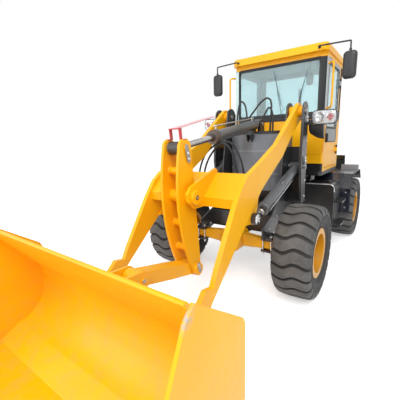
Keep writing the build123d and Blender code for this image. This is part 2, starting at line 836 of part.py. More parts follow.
# kind, side, base pin, rod pin, y, barrel r, rod r, barrel share of the pin distance,
# piston's place inside the barrel, half widths of the base eye and the rod eye, pin radius
CYLINDERS = (
    ("lift", "left", LIFT_BASE, LIFT_PIN, ARM_Y, 58.0, 30.0, 0.86, 130.0, 83.0, EYE_HALF, PIN_R),
    ("lift", "right", LIFT_BASE, LIFT_PIN, -ARM_Y, 58.0, 30.0, 0.86, 130.0, 83.0, EYE_HALF, PIN_R),
    ("tilt", "", TILT_BASE, ROCKER_TOP, 0.0, 64.0, 33.0, 0.66, 330.0, 50.0, LINK_HALF, SMALL_PIN_R),
)
for row in CYLINDERS:
    kind, hand_name, base, end, y, barrel_r, rod_r, share, rod_from, base_half, eye_half, base_pin = row
    tag = f"_{hand_name}" if hand_name else ""
    full = reach(base, end)
    barrel_len = share * full
    axis_plane = along(base, end, y)
    with BuildPart() as barrel:
        with BuildSketch(axis_plane.offset(BARREL_FROM)):
            Circle(barrel_r)
        extrude(amount=barrel_len - BARREL_FROM - 60)
        # gland nut
        with BuildSketch(axis_plane.offset(barrel_len - 60)):
            Circle(barrel_r + 12)
        extrude(amount=60)
        with BuildSketch(side(y)):
            with Locations(base):
                Circle(barrel_r)
        extrude(amount=base_half, both=True)
        with BuildSketch(axis_plane):
            Rectangle(1.2 * barrel_r, 1.4 * barrel_r)
        extrude(amount=BARREL_FROM + 10)
        with BuildSketch(axis_plane.offset(BARREL_FROM + 25)):
            Circle(rod_r + RUN)
        extrude(amount=barrel_len, mode=Mode.SUBTRACT)
        with BuildSketch(side(y)):
            with Locations(base):
                Circle(base_pin + RUN)
        extrude(amount=200, both=True, mode=Mode.SUBTRACT)
    save(barrel, f"{kind}_barrel{tag}")

    with BuildPart() as rod:
        with BuildSketch(axis_plane.offset(rod_from)):
            Circle(rod_r)
        extrude(amount=full - rod_from - ROD_NECK)
        # flat neck and eye
        neck_half = min(eye_half, rod_r)
        with BuildSketch(axis_plane.offset(full - ROD_NECK)):
            Rectangle(2 * neck_half, 1.7 * rod_r)
        extrude(amount=ROD_NECK - 20)
        with BuildSketch(side(y)):
            with Locations(end):
                Circle(ROD_EYE_R)
        extrude(amount=eye_half, both=True)
    save(rod, f"{kind}_rod{tag}")

# ================================================================ steering cylinders
for hand, hand_name in ((1, "left"), (-1, "right")):
    dx = STEER_ROD[0] - STEER_BASE[0]
    dy = hand * (STEER_ROD[1] - STEER_BASE[1])
    full = hypot(dx, dy)
    steer_plane = Plane(
        origin=(PIVOT_X + STEER_BASE[0], hand * STEER_BASE[1], STEER_Z),
        x_dir=(0, 0, 1),
        z_dir=(dx, dy, 0),
    )
    with BuildPart() as steer_barrel:
        with BuildSketch(steer_plane.offset(25)):
            Circle(38)
        extrude(amount=0.56 * full - 25)
        with BuildSketch(top(STEER_Z - 40, PIVOT_X)):
            with Locations((STEER_BASE[0], hand * STEER_BASE[1])):
                Circle(42)
        extrude(amount=80)
        with BuildSketch(steer_plane.offset(60)):
            Circle(20 + RUN)
        extrude(amount=full, mode=Mode.SUBTRACT)
        with BuildSketch(top(STEER_Z - 100, PIVOT_X)):
            with Locations((STEER_BASE[0], hand * STEER_BASE[1])):
                Circle(20 + RUN)
        extrude(amount=200, mode=Mode.SUBTRACT)
    save(steer_barrel, f"steer_barrel_{hand_name}")
    with BuildPart() as steer_rod:
        with BuildSketch(steer_plane.offset(270)):
            Circle(20)
        extrude(amount=full - 270 - 20)
        with BuildSketch(top(STEER_Z - 25, PIVOT_X)):
            with Locations((STEER_ROD[0], hand * STEER_ROD[1])):
                Circle(40)
        extrude(amount=50)
    save(steer_rod, f"steer_rod_{hand_name}")

# ================================================================ rear frame
RAIL_Y = 420.0
RAIL_T = 18.0
RAIL_LOW = AXLE_Z + 110.0
RAIL_HIGH = 1180.0
CLEVIS_T = 26.0
FRAME_BACK = 150.0 - TAIL            # x from the rear axle
ENGINE_Z = 880.0                     # engine's seat on its cross members
HINGE_WEB = -240.0                   # x from the articulation pin
HOOD_LOW = 1330.0
HOOD_HALF = 520.0
SILL_T = 30.0
SILL_BACK = REAR_X - TAIL + 190.0
SILL_FRONT = CAB_BACK - 25.0

with BuildPart() as rear_frame:
    # side rails, arched over the axle; x from the rear axle
    for hand in (1, -1):
        with BuildSketch(side(hand * RAIL_Y, REAR_X)):
            with BuildLine():
                Polyline(
                    (PIVOT_X + HINGE_WEB - REAR_X, UPPER_EAR_Z + 60),
                    (PIVOT_X + HINGE_WEB - REAR_X, LOWER_EAR_Z - 60),
                    (420, LOWER_EAR_Z - 60),
                    (300, RAIL_LOW + 60),
                    (-300, RAIL_LOW + 60),
                    (-380, RAIL_LOW),
                    (FRAME_BACK, RAIL_LOW + 40),
                    (FRAME_BACK, RAIL_HIGH),
                    (500, RAIL_HIGH),
                    close=True,
                )
            make_face()
        extrude(amount=RAIL_T / 2, both=True)
    # web behind the hinge, and the cross members: (x from rear axle, low, high)
    for x, low, high in (
        (PIVOT_X + HINGE_WEB - REAR_X, LOWER_EAR_Z - 60.0, UPPER_EAR_Z + 60.0),
        (400.0, RAIL_LOW - 40.0, RAIL_LOW + 110.0),
        (-420.0, RAIL_LOW + 10.0, ENGINE_Z),
        (-60.0, RAIL_LOW + 80.0, ENGINE_Z),
        (FRAME_BACK + 20.0, RAIL_LOW + 40.0, RAIL_HIGH - 100.0),
    ):
        with BuildSketch(front(REAR_X + x)):
            with Locations((0, (low + high) / 2)):
                Rectangle(2 * RAIL_Y, high - low)
        extrude(amount=-20)
    # the steering cylinders reach forward through the web
    with BuildSketch(front(PIVOT_X + HINGE_WEB)):
        for hand in (1, -1):
            with Locations((hand * 262, STEER_Z)):
                RectangleRounded(286, 130, 20)
    extrude(amount=20, both=True, mode=Mode.SUBTRACT)
    # cradle blocks with the trunnion bearings in which the rear axle rocks
    for x in (-190.0, 130.0):
        with BuildSketch(front(REAR_X + x)):
            with Locations((0, RAIL_LOW + 60)):
                Rectangle(2 * RAIL_Y, 70)
            with Locations((0, (AXLE_Z + RAIL_LOW + 60) / 2)):
                Rectangle(220, RAIL_LOW + 60 - AXLE_Z)
            with Locations((0, AXLE_Z)):
                Circle(110)
                Circle(TRUNNION_R, mode=Mode.SUBTRACT)
        extrude(amount=60)
    # sills that carry the hood
    for hand in (1, -1):
        with BuildSketch(front(SILL_BACK)):
            with Locations((hand * (RAIL_Y + SILL_T / 2 - RAIL_T / 2), (RAIL_HIGH + HOOD_LOW) / 2)):
                Rectangle(SILL_T, HOOD_LOW - RAIL_HIGH)
            with Locations((hand * (RAIL_Y - RAIL_T / 2 + HOOD_HALF) / 2, HOOD_LOW - 12)):
                Rectangle(HOOD_HALF - RAIL_Y + RAIL_T / 2, 24)
        extrude(amount=SILL_FRONT - SILL_BACK)
    # articulation clevises above and below each ear
    for ear_z in (UPPER_EAR_Z, LOWER_EAR_Z):
        for low in (ear_z + EAR_T / 2 + 1.5, ear_z - EAR_T / 2 - 1.5 - CLEVIS_T):
            with BuildSketch(top(low, PIVOT_X)):
                with BuildLine():
                    Polyline(
                        (HINGE_WEB - 15, -RAIL_Y),
                        (HINGE_WEB - 15, RAIL_Y),
                        (HINGE_WEB, RAIL_Y),
                        (0, EAR_R - 10),
                        (0, -EAR_R + 10),
                        (HINGE_WEB, -RAIL_Y),
                        close=True,
                    )
                make_face()
                Circle(EAR_R - 10)
                Circle(40, mode=Mode.SUBTRACT)
            extrude(amount=CLEVIS_T)
    # base ears of the steering cylinders
    for hand in (1, -1):
        for low in (STEER_Z + 42, STEER_Z - 42 - 16):
            with BuildSketch(top(low, PIVOT_X)):
                with Locations((STEER_BASE[0], hand * (STEER_BASE[1] + RAIL_Y) / 2)):
                    Rectangle(90, RAIL_Y - STEER_BASE[1])
                with Locations((STEER_BASE[0], hand * STEER_BASE[1])):
                    Circle(45)
            extrude(amount=16)
        with BuildSketch(top(STEER_Z - 100, PIVOT_X)):
            with Locations((STEER_BASE[0], hand * STEER_BASE[1])):
                Circle(20)
        extrude(amount=200, mode=Mode.SUBTRACT)
save(rear_frame, "rear_frame")

with BuildPart() as hinge_pins:
    for ear_z in (UPPER_EAR_Z, LOWER_EAR_Z):
        with BuildSketch(top(ear_z - EAR_T / 2 - CLEVIS_T - 12, PIVOT_X)):
            Circle(40)
        extrude(amount=EAR_T + 2 * CLEVIS_T + 24)
    for hand in (1, -1):
        with BuildSketch(top(STEER_Z - 64, PIVOT_X)):
            with Locations((STEER_BASE[0], hand * STEER_BASE[1])):
                Circle(20)
        extrude(amount=128)
save(hinge_pins, "articulation_pins")

# ================================================================ rear axle's load
# the engine is one plain block at its place under the hood
ENGINE = (330.0 - TAIL, -20.0, 300.0, ENGINE_Z, 1560.0)   # x from rear axle, half width, z
with BuildPart() as engine_block:
    with BuildSketch(top(ENGINE[3], REAR_X)):
        with Locations(((ENGINE[0] + ENGINE[1]) / 2, 0)):
            RectangleRounded(ENGINE[1] - ENGINE[0], 2 * ENGINE[2], 40)
    extrude(amount=ENGINE[4] - ENGINE[3])
save(engine_block, "engine_block")

# ================================================================ cab
CAB_HALF = 740.0
CAB_LOW = 1300.0
CAB_HIGH = 3020.0
CAB_WALL = 42.0
POST = 70.0
SILL_Z = 2150.0            # lower edge of the windscreen
GLASS_T = 8.0
WINDOW_TOP = 2950.0
DOOR_LOW = CAB_LOW + 50.0
DOOR_HIGH = WINDOW_TOP + 10.0
DOOR_FRONT = CAB_FRONT - POST
DOOR_BACK = CAB_BACK + 190.0
DOOR_GAP = 6.0
cab_mid = (CAB_FRONT + CAB_BACK) / 2
ROOF_LIP = 90.0            # roof ahead of the windscreen's posts
CAB_CORNER = 30.0

with BuildPart() as cab_shell:
    with BuildSketch(Plane.XY.offset(CAB_LOW)):
        with Locations((cab_mid, 0)):
            RectangleRounded(CAB_LENGTH, 2 * CAB_HALF, CAB_CORNER)
    extrude(amount=CAB_HIGH - CAB_LOW)
    with BuildSketch(Plane.XY.offset(CAB_LOW)):
        with Locations((cab_mid, 0)):
            RectangleRounded(CAB_LENGTH - 2 * CAB_WALL, 2 * (CAB_HALF - CAB_WALL), 10)
    extrude(amount=CAB_HIGH - CAB_LOW, mode=Mode.SUBTRACT)
    # windscreen and rear window
    for x, low in ((CAB_FRONT, SILL_Z), (CAB_BACK, SILL_Z - 100)):
        with BuildSketch(Plane.YZ.offset(x)):
            with Locations((0, (low + WINDOW_TOP) / 2)):
                RectangleRounded(2 * (CAB_HALF - POST), WINDOW_TOP - low, 40)
        extrude(amount=60, both=True, mode=Mode.SUBTRACT)
    # doorways and the fixed window behind each
    with BuildSketch(Plane.XZ):
        with Locations(((DOOR_FRONT + DOOR_BACK) / 2, (DOOR_LOW + DOOR_HIGH) / 2)):
            RectangleRounded(DOOR_FRONT - DOOR_BACK, DOOR_HIGH - DOOR_LOW, 40)
    extrude(amount=1000, both=True, mode=Mode.SUBTRACT)
    with BuildSketch(Plane.XZ):
        with Locations(((DOOR_BACK - 45 + CAB_BACK + 70) / 2, (SILL_Z + WINDOW_TOP) / 2)):
            Rectangle(DOOR_BACK - 45 - CAB_BACK - 70, WINDOW_TOP - SILL_Z)
    extrude(amount=1000, both=True, mode=Mode.SUBTRACT)
save(cab_shell, "cab_shell")

with BuildPart() as cab_roof:
    with BuildSketch(Plane.XY.offset(CAB_HIGH)):
        with Locations((cab_mid + (ROOF_LIP - 50) / 2, 0)):
            RectangleRounded(CAB_LENGTH + ROOF_LIP + 50, 2 * CAB_HALF + 40, 90)
    extrude(amount=110)
    fillet(cab_roof.edges().group_by(Axis.Z)[-1], 35)
save(cab_roof, "cab_roof")

with BuildPart() as cab_floor:
    with BuildSketch(Plane.XY.offset(CAB_LOW - 60)):
        with Locations((cab_mid, 0)):
            RectangleRounded(CAB_LENGTH, 2 * CAB_HALF, 60)
    extrude(amount=60)
    # rubber-mounted legs down to the rails
    with BuildSketch(Plane.XY.offset(RAIL_HIGH)):
        for x in (CAB_FRONT - 330, CAB_BACK + 110):
            for hand in (1, -1):
                with Locations((x, hand * RAIL_Y)):
                    Circle(38)
    extrude(amount=CAB_LOW - 60 - RAIL_HIGH)
save(cab_floor, "cab_floor")

with BuildPart() as cab_glass:
    for x, low in (
        (CAB_FRONT - CAB_WALL / 2, SILL_Z),
        (CAB_BACK + CAB_WALL / 2, SILL_Z - 100),
    ):
        with BuildSketch(Plane.YZ.offset(x)):
            with Locations((0, (low + WINDOW_TOP) / 2)):
                RectangleRounded(2 * (CAB_HALF - POST), WINDOW_TOP - low, 40)
        extrude(amount=GLASS_T / 2, both=True)
    for hand in (1, -1):
        with BuildSketch(Plane.XZ.offset(-hand * (CAB_HALF - CAB_WALL / 2))):
            with Locations(((DOOR_BACK - 45 + CAB_BACK + 70) / 2, (SILL_Z + WINDOW_TOP) / 2)):
                Rectangle(DOOR_BACK - 45 - CAB_BACK - 70, WINDOW_TOP - SILL_Z)
        extrude(amount=GLASS_T / 2, both=True)
save(cab_glass, "cab_glass")

# doors: frame with its pane, hung on pins behind the rear edge
DOOR_T = 36.0
DOOR_RIM = 60.0
HINGE_Y = CAB_HALF + 16.0
HINGE_X = DOOR_BACK - 2.0
door_low = DOOR_LOW + DOOR_GAP
door_high = DOOR_HIGH - DOOR_GAP
door_front = DOOR_FRONT - DOOR_GAP
door_back = DOOR_BACK + DOOR_GAP
WINDOW_LOW = 1900.0
for hand, name in ((1, "left"), (-1, "right")):
    with BuildPart() as door:
        with BuildSketch(Plane.XZ.offset(-hand * CAB_HALF)):
            with Locations(((door_front + door_back) / 2, (door_low + door_high) / 2)):
                RectangleRounded(door_front - door_back, door_high - door_low, 36)
            with Locations(((door_front + door_back) / 2, (WINDOW_LOW + door_high - DOOR_RIM) / 2)):
                RectangleRounded(
                    door_front - door_back - 2 * DOOR_RIM,
                    door_high - DOOR_RIM - WINDOW_LOW,
                    50,
                    mode=Mode.SUBTRACT,
                )
        extrude(amount=hand * DOOR_T)
        # hinge leaves reach out to the pins
        for z in (DOOR_LOW + 260, DOOR_HIGH - 260):
            with BuildSketch(Plane.XY.offset(z - 35)):
                with Locations((HINGE_X + 32, hand * (CAB_HALF + 8))):
                    Rectangle(64, 16)
                with Locations((HINGE_X, hand * HINGE_Y)):
                    Circle(13)
                    Circle(7 + RUN, mode=Mode.SUBTRACT)
            extrude(amount=70)
        # grip
        with BuildSketch(Plane.XZ.offset(-hand * (CAB_HALF + 30))):
            with Locations((door_front - 70, WINDOW_LOW - 90)):
                RectangleRounded(36, 130, 12)
        extrude(amount=hand * 30)
    save(door, f"door_{name}")
    with BuildPart() as door_glass:
        with BuildSketch(Plane.XZ.offset(-hand * (CAB_HALF - DOOR_T / 2))):
            with Locations(((door_front + door_back) / 2, (WINDOW_LOW + door_high - DOOR_RIM) / 2)):
                RectangleRounded(
                    door_front - door_back - 2 * DOOR_RIM, door_high - DOOR_RIM - WINDOW_LOW, 50
                )
        extrude(amount=GLASS_T / 2, both=True)
    save(door_glass, f"door_glass_{name}")

with BuildPart() as door_hinges:
    for hand in (1, -1):
        for z in (DOOR_LOW + 260, DOOR_HIGH - 260):
            with BuildSketch(Plane.XY.offset(z - 75)):
                with Locations((HINGE_X, hand * HINGE_Y)):
                    Circle(7)
            extrude(amount=150)
            for low in (z - 75, z + 37):
                with BuildSketch(Plane.XY.offset(low)):
                    with Locations((HINGE_X - 22, hand * (CAB_HALF + 8))):
                        Rectangle(44, 16)
                    with Locations((HINGE_X, hand * HINGE_Y)):
                        Circle(13)
                extrude(amount=38)
save(door_hinges, "door_hinges")

# seat, steering column with its wheel, console
SEAT_X = cab_mid - 90.0
with BuildPart() as seat:
    with BuildSketch(Plane.XY.offset(CAB_LOW)):
        with Locations((SEAT_X, 0)):
            RectangleRounded(330, 330, 30)
    extrude(amount=300)
    with BuildSketch(Plane.XY.offset(CAB_LOW + 300)):
        with Locations((SEAT_X, 0)):
            RectangleRounded(470, 480, 70)
    extrude(amount=120)
    with BuildSketch(Plane.XZ.offset(-220)):
        with BuildLine():
            Polyline(
                (SEAT_X - 150, CAB_LOW + 400),
                (SEAT_X - 240, CAB_LOW + 400),
                (SEAT_X - 330, CAB_LOW + 960),
                (SEAT_X - 240, CAB_LOW + 980),
                close=True,
            )
        make_face()
    extrude(amount=440)
save(seat, "seat")

COLUMN_X = CAB_FRONT - 300.0
with BuildPart() as steering_column:
    with BuildSketch(Plane.XY.offset(CAB_LOW)):
        with Locations((COLUMN_X + 90, 0)):
            RectangleRounded(190, 300, 40)
    extrude(amount=600, taper=4)
    wheel_at = Plane(origin=(COLUMN_X, 0, CAB_LOW + 800), x_dir=(0, 1, 0), z_dir=(-0.5, 0, 0.866))
    with BuildSketch(wheel_at.offset(-260)):
        Circle(28)
    extrude(amount=262)
    with BuildSketch(wheel_at):
        Circle(190)
        Circle(166, mode=Mode.SUBTRACT)
        Rectangle(340, 30)
        Circle(45)
    extrude(amount=22)
save(steering_column, "steering_column")

# handrails at the front posts, and the mirrors on their arms
RAIL_TUBE = 14.0
RAIL_ENDS = (2240.0, 2860.0)
MIRROR_OUT = 300.0
MIRROR_X = CAB_FRONT + 110.0
MIRROR_LOW = 2580.0
MIRROR_HIGH = 2940.0
with BuildPart() as handrails:
    for hand in (1, -1):
        with BuildLine() as rail_path:
            FilletPolyline(
                (CAB_FRONT - 50, hand * (CAB_HALF + 12), RAIL_ENDS[0]),
                (CAB_FRONT + 40, hand * (CAB_HALF + 90), RAIL_ENDS[0]),
                (CAB_FRONT + 40, hand * (CAB_HALF + 90), RAIL_ENDS[1]),
                (CAB_FRONT - 50, hand * (CAB_HALF + 12), RAIL_ENDS[1]),
                radius=50,
            )
        with BuildSketch(Plane(origin=rail_path.wires()[0] @ 0, z_dir=rail_path.wires()[0] % 0)):
            Circle(RAIL_TUBE)
        sweep(path=rail_path.wires()[0])
        # foot plates on the post
        with BuildSketch(Plane.XZ.offset(-hand * CAB_HALF)):
            with Locations((CAB_FRONT - 50, RAIL_ENDS[0]), (CAB_FRONT - 50, RAIL_ENDS[1])):
                Circle(18)
        extrude(amount=-hand * 6)
save(handrails, "handrails")

with BuildPart() as mirrors:
    for hand in (1, -1):
        with BuildLine() as arm_path:
            FilletPolyline(
                (CAB_FRONT + ROOF_LIP, hand * (CAB_HALF - 100), CAB_HIGH + 40),
                (MIRROR_X + 50, hand * (CAB_HALF - 100), CAB_HIGH + 40),
                (MIRROR_X, hand * (CAB_HALF + MIRROR_OUT), CAB_HIGH + 40),
                (MIRROR_X, hand * (CAB_HALF + MIRROR_OUT), MIRROR_HIGH - 40),
                radius=35,
            )
        with BuildSketch(Plane(origin=arm_path.wires()[0] @ 0, z_dir=arm_path.wires()[0] % 0)):
            Circle(11)
        sweep(path=arm_path.wires()[0])
        with BuildSketch(Plane.XY.offset(MIRROR_LOW)):
            with Locations((MIRROR_X, hand * (CAB_HALF + MIRROR_OUT))):
                RectangleRounded(70, 170, 30)
        extrude(amount=MIRROR_HIGH - MIRROR_LOW)
save(mirrors, "mirrors")

# ================================================================ hood and tail
HOOD_FRONT = CAB_BACK - 20.0
HOOD_BACK = SILL_BACK
HOOD_HIGH = 2060.0
HOOD_T = 30.0
with BuildPart() as hood:
    with BuildSketch(Plane.YZ.offset(HOOD_BACK)):
        with BuildLine():
            Polyline(
                (-HOOD_HALF, HOOD_LOW),
                (-HOOD_HALF, HOOD_HIGH - 170),
                (-HOOD_HALF + 130, HOOD_HIGH),
                (HOOD_HALF - 130, HOOD_HIGH),
                (HOOD_HALF, HOOD_HIGH - 170),
                (HOOD_HALF, HOOD_LOW),
                close=True,
            )
        make_face()
    extrude(amount=HOOD_FRONT - HOOD_BACK)
    with BuildSketch(Plane.YZ.offset(HOOD_BACK)):
        with BuildLine():
            Polyline(
                (-HOOD_HALF + HOOD_T, HOOD_LOW),
                (-HOOD_HALF + HOOD_T, HOOD_HIGH - 185),
                (-HOOD_HALF + 145, HOOD_HIGH - HOOD_T),
                (HOOD_HALF - 145, HOOD_HIGH - HOOD_T),
                (HOOD_HALF - HOOD_T, HOOD_HIGH - 185),
                (HOOD_HALF - HOOD_T, HOOD_LOW),
                close=True,
            )
        make_face()
    extrude(amount=HOOD_FRONT - HOOD_BACK, mode=Mode.SUBTRACT)
    # side cooling openings
    with BuildSketch(Plane.XZ):
        with Locations((HOOD_BACK + 330, 1640)):
            RectangleRounded(420, 260, 30)
    extrude(amount=900, both=True, mode=Mode.SUBTRACT)
save(hood, "hood")

SIDE_BARS = 7
BACK_BARS = 10
with BuildPart() as grilles:
    # louvred panels in the hood's sides, and the radiator's behind
    for hand in (1, -1):
        with BuildSketch(Plane.XZ.offset(-hand * (HOOD_HALF - HOOD_T / 2))):
            with Locations((HOOD_BACK + 330, 1640)):
                RectangleRounded(420, 260, 30)
            for k in range(SIDE_BARS - 1):
                with Locations((HOOD_BACK + 330, 1640 + (k - SIDE_BARS / 2 + 1) * 38)):
                    Rectangle(370, 18, mode=Mode.SUBTRACT)
        extrude(amount=5, both=True)
    with BuildSketch(Plane.YZ.offset(HOOD_BACK + 14)):
        with Locations((0, (HOOD_LOW + HOOD_HIGH - 190) / 2)):
            Rectangle(2 * (HOOD_HALF - HOOD_T), HOOD_HIGH - 190 - HOOD_LOW)
        for k in range(BACK_BARS - 1):
            with Locations((0, (HOOD_LOW + HOOD_HIGH - 190) / 2 + (k - BACK_BARS / 2 + 1) * 52)):
                Rectangle(2 * (HOOD_HALF - HOOD_T) - 120, 26, mode=Mode.SUBTRACT)
    extrude(amount=16)
save(grilles, "grilles")

HITCH_R = 20.0
HITCH_IN = 48.0                      # pin to the back of the counterweight
HITCH_LOW = RAIL_LOW - 40.0
HITCH_LENGTH = 300.0
HITCH_END_R = 16.0
HITCH_END = 60.0
with BuildPart() as counterweight:
    with BuildSketch(Plane.XY.offset(HITCH_LOW)):
        with BuildLine():
            Polyline(
                (REAR_X + FRAME_BACK + 10, 700),
                (REAR_X - TAIL + 120, 700),
                (REAR_X - TAIL, 480),
                (REAR_X - TAIL, -480),
                (REAR_X - TAIL + 120, -700),
                (REAR_X + FRAME_BACK + 10, -700),
                (REAR_X + FRAME_BACK + 10, -RAIL_Y - 30),
                (REAR_X + FRAME_BACK, -RAIL_Y - 30),
                (REAR_X + FRAME_BACK, RAIL_Y + 30),
                (REAR_X + FRAME_BACK + 10, RAIL_Y + 30),
                close=True,
            )
        make_face()
    extrude(amount=HOOD_LOW - RAIL_LOW + 38)
    # slot of the tow hitch
    with BuildSketch(Plane.XY.offset(RAIL_LOW + 60)):
        with Locations((REAR_X - TAIL, 0)):
            Rectangle(180, 200)
    extrude(amount=70, mode=Mode.SUBTRACT)
    with BuildSketch(Plane.XY.offset(HITCH_LOW - 10)):
        with Locations((REAR_X - TAIL + HITCH_IN, 0)):
            Circle(HITCH_R)
    extrude(amount=HITCH_LENGTH + 10, mode=Mode.SUBTRACT)
save(counterweight, "counterweight")

with BuildPart() as hitch_pin:
    with BuildSketch(Plane.XY.offset(HITCH_LOW)):
        with Locations((REAR_X - TAIL + HITCH_IN, 0)):
            Circle(HITCH_R - RUN)
    extrude(amount=HITCH_LENGTH)
    # turned-down end below the casting
    with BuildSketch(Plane.XY.offset(HITCH_LOW)):
        with Locations((REAR_X - TAIL + HITCH_IN, 0)):
            Circle(HITCH_END_R)
    extrude(amount=-HITCH_END)
save(hitch_pin, "hitch_pin")

with BuildPart() as exhaust:
    with BuildSketch(Plane.XY.offset(HOOD_HIGH)):
        with Locations((HOOD_BACK + 420, -180)):
            Circle(62)
    extrude(amount=330)
    with BuildSketch(Plane.XY.offset(HOOD_HIGH + 330)):
        with Locations((HOOD_BACK + 420, -180)):
            Circle(34)
            Circle(30, mode=Mode.SUBTRACT)
    extrude(amount=420)
save(exhaust, "exhaust")

# ================================================================ fenders, tanks, lamps
FENDER_R = TYRE_R + 75.0
FENDER_T = 14.0
FENDER_IN = 460.0
FENDER_OUT = HALF_TREAD + 170.0
with BuildPart() as rear_fenders:
    for hand in (1, -1):
        with BuildSketch(Plane.XZ.offset(-hand * FENDER_IN)):
            with BuildLine():
                # front apron, then over the tyre
                Polyline(
                    (REAR_X + FENDER_R, 560),
                    (REAR_X + FENDER_R, 960),
                    (REAR_X + FENDER_R - 150, 1190),
                    (REAR_X - 380, 1190),
                    (REAR_X - 560, 1010),
                    (REAR_X - 560 - FENDER_T, 1010 + 8),
                    (REAR_X - 380 - 6, 1190 + FENDER_T),
                    (REAR_X + FENDER_R - 150 + 8, 1190 + FENDER_T),
                    (REAR_X + FENDER_R + FENDER_T, 960 + 4),
                    (REAR_X + FENDER_R + FENDER_T, 560),
                    close=True,
                )
            make_face()
        extrude(amount=-hand * (FENDER_OUT - FENDER_IN))
        # bracket to the rail
        with BuildSketch(Plane.YZ.offset(REAR_X + 60)):
            with Locations((hand * (RAIL_Y + RAIL_T / 2 + FENDER_IN) / 2, RAIL_HIGH - 35)):
                Rectangle(FENDER_IN - RAIL_Y - RAIL_T / 2, 70)
        extrude(amount=60, both=True)
        with BuildSketch(Plane.XY.offset(RAIL_HIGH - 14)):
            with Locations((REAR_X + 60, hand * (FENDER_IN + 20))):
                Rectangle(120, 60)
        extrude(amount=26)
save(rear_fenders, "rear_fenders")

TANK_FRONT = CAB_FRONT - 90.0
TANK_BACK = REAR_X + FENDER_R + 50.0
TANK_IN = RAIL_Y + RAIL_T / 2
TANK_DEEP = 490.0
with BuildPart() as side_tanks:
    for hand in (1, -1):
        with BuildSketch(Plane.YZ.offset(TANK_BACK)):
            with Locations((hand * (TANK_IN + TANK_DEEP / 2), 790)):
                RectangleRounded(TANK_DEEP, 620, 70)
        extrude(amount=TANK_FRONT - TANK_BACK)
        # treads of the steps
        for z in (430.0, 800.0):
            with BuildSketch(Plane.XY.offset(z)):
                with Locations(((TANK_FRONT + TANK_BACK) / 2, hand * (TANK_IN + TANK_DEEP + 55))):
                    Rectangle(320, 110)
            extrude(amount=24)
        with BuildSketch(Plane.YZ.offset((TANK_FRONT + TANK_BACK) / 2 - 160)):
            with Locations((hand * (TANK_IN + TANK_DEEP - 2), 630)):
                Rectangle(12, 400)
        extrude(amount=320)
save(side_tanks, "side_tanks")

# headlamps on their brackets from the outer tower plates
LAMP_X = FRONT_X - 850.0
LAMP_Y = 860.0
LAMP_Z = 2075.0
with BuildPart() as headlamps:
    for hand in (1, -1):
        with BuildSketch(Plane.YZ.offset(LAMP_X - 90)):
            with Locations((hand * LAMP_Y, LAMP_Z)):
                RectangleRounded(310, 180, 60)
        extrude(amount=110)
        bracket_in = TOWER_OUT_Y + TOWER_OUT_T / 2
        with BuildSketch(Plane.YZ.offset(LAMP_X - 50)):
            with Locations((hand * (bracket_in + 27), LAMP_Z - 60)):
                Rectangle(54, 60)
        extrude(amount=150)
save(headlamps, "headlamps")

with BuildPart() as headlamp_lenses:
    for hand in (1, -1):
        with BuildSketch(Plane.YZ.offset(LAMP_X + 20)):
            with Locations((hand * LAMP_Y, LAMP_Z)):
                RectangleRounded(280, 160, 55)
        extrude(amount=30, taper=20)
save(headlamp_lenses, "headlamp_lenses")

with BuildPart() as tail_lamps:
    for hand in (1, -1):
        with BuildSketch(Plane.YZ.offset(REAR_X - TAIL + 100)):
            with Locations((hand * 600, HOOD_LOW - 2 + 50)):
                RectangleRounded(170, 100, 20)
        extrude(amount=55)
save(tail_lamps, "tail_lamps")
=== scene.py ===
"""Looks of a compact articulated wheel loader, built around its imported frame."""

import json
import math

import bmesh
import bpy
from mathutils import Matrix, Vector


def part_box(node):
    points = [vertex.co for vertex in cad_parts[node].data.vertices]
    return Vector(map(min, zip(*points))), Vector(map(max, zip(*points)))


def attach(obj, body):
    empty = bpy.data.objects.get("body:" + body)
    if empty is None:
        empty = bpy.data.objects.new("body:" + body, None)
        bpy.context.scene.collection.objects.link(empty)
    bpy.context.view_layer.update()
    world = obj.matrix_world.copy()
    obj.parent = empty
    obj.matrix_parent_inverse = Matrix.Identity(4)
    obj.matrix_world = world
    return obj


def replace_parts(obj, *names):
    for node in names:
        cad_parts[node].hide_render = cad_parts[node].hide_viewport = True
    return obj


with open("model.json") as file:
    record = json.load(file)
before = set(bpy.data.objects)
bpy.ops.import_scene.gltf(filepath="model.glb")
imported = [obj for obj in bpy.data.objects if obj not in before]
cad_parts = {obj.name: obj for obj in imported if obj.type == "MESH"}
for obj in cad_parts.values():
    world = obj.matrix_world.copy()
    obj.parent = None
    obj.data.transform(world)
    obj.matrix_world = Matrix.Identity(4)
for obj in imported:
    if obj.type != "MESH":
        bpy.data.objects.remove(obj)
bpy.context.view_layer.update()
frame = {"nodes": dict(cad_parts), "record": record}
NODES = frame["nodes"]
SIDES = (("left", 1), ("right", -1))
HANDS = (1, -1)
ENDS = ("front", "rear")
FRONT_BODY, REAR_BODY = "front_body", "rear_body"


def link_object(thing):
    bpy.context.scene.collection.objects.link(thing)
    return thing


# ---------------------------------------------------------------- node trees
class Nodes:
    """Short calls for building a node tree."""

    def feed(self, socket, value):
        """Link a socket's value, or set a plain one."""
        if isinstance(value, bpy.types.NodeSocket):
            self.tree.links.new(value, socket)
        else:
            socket.default_value = value

    def node(self, kind, settings=None, **inputs):
        """New node, with its settings, and its inputs by name with _ for a space."""
        node = self.tree.nodes.new(kind)
        for key, value in (settings or {}).items():
            setattr(node, key, value)
        for key, value in inputs.items():
            self.feed(node.inputs[key.replace("_", " ")], value)
        return node

    def math(self, operation, first, second):
        node = self.node("ShaderNodeMath", {"operation": operation})
        self.feed(node.inputs[0], first)
        self.feed(node.inputs[1], second)
        return node.outputs[0]

    def seen(self):
        """1 for what is seen straight on, by reflection or through glass."""
        path = self.node("ShaderNodeLightPath").outputs
        straight = self.math("MAXIMUM", path["Is Camera Ray"], path["Is Glossy Ray"])
        return self.math("MAXIMUM", straight, path["Is Transmission Ray"])


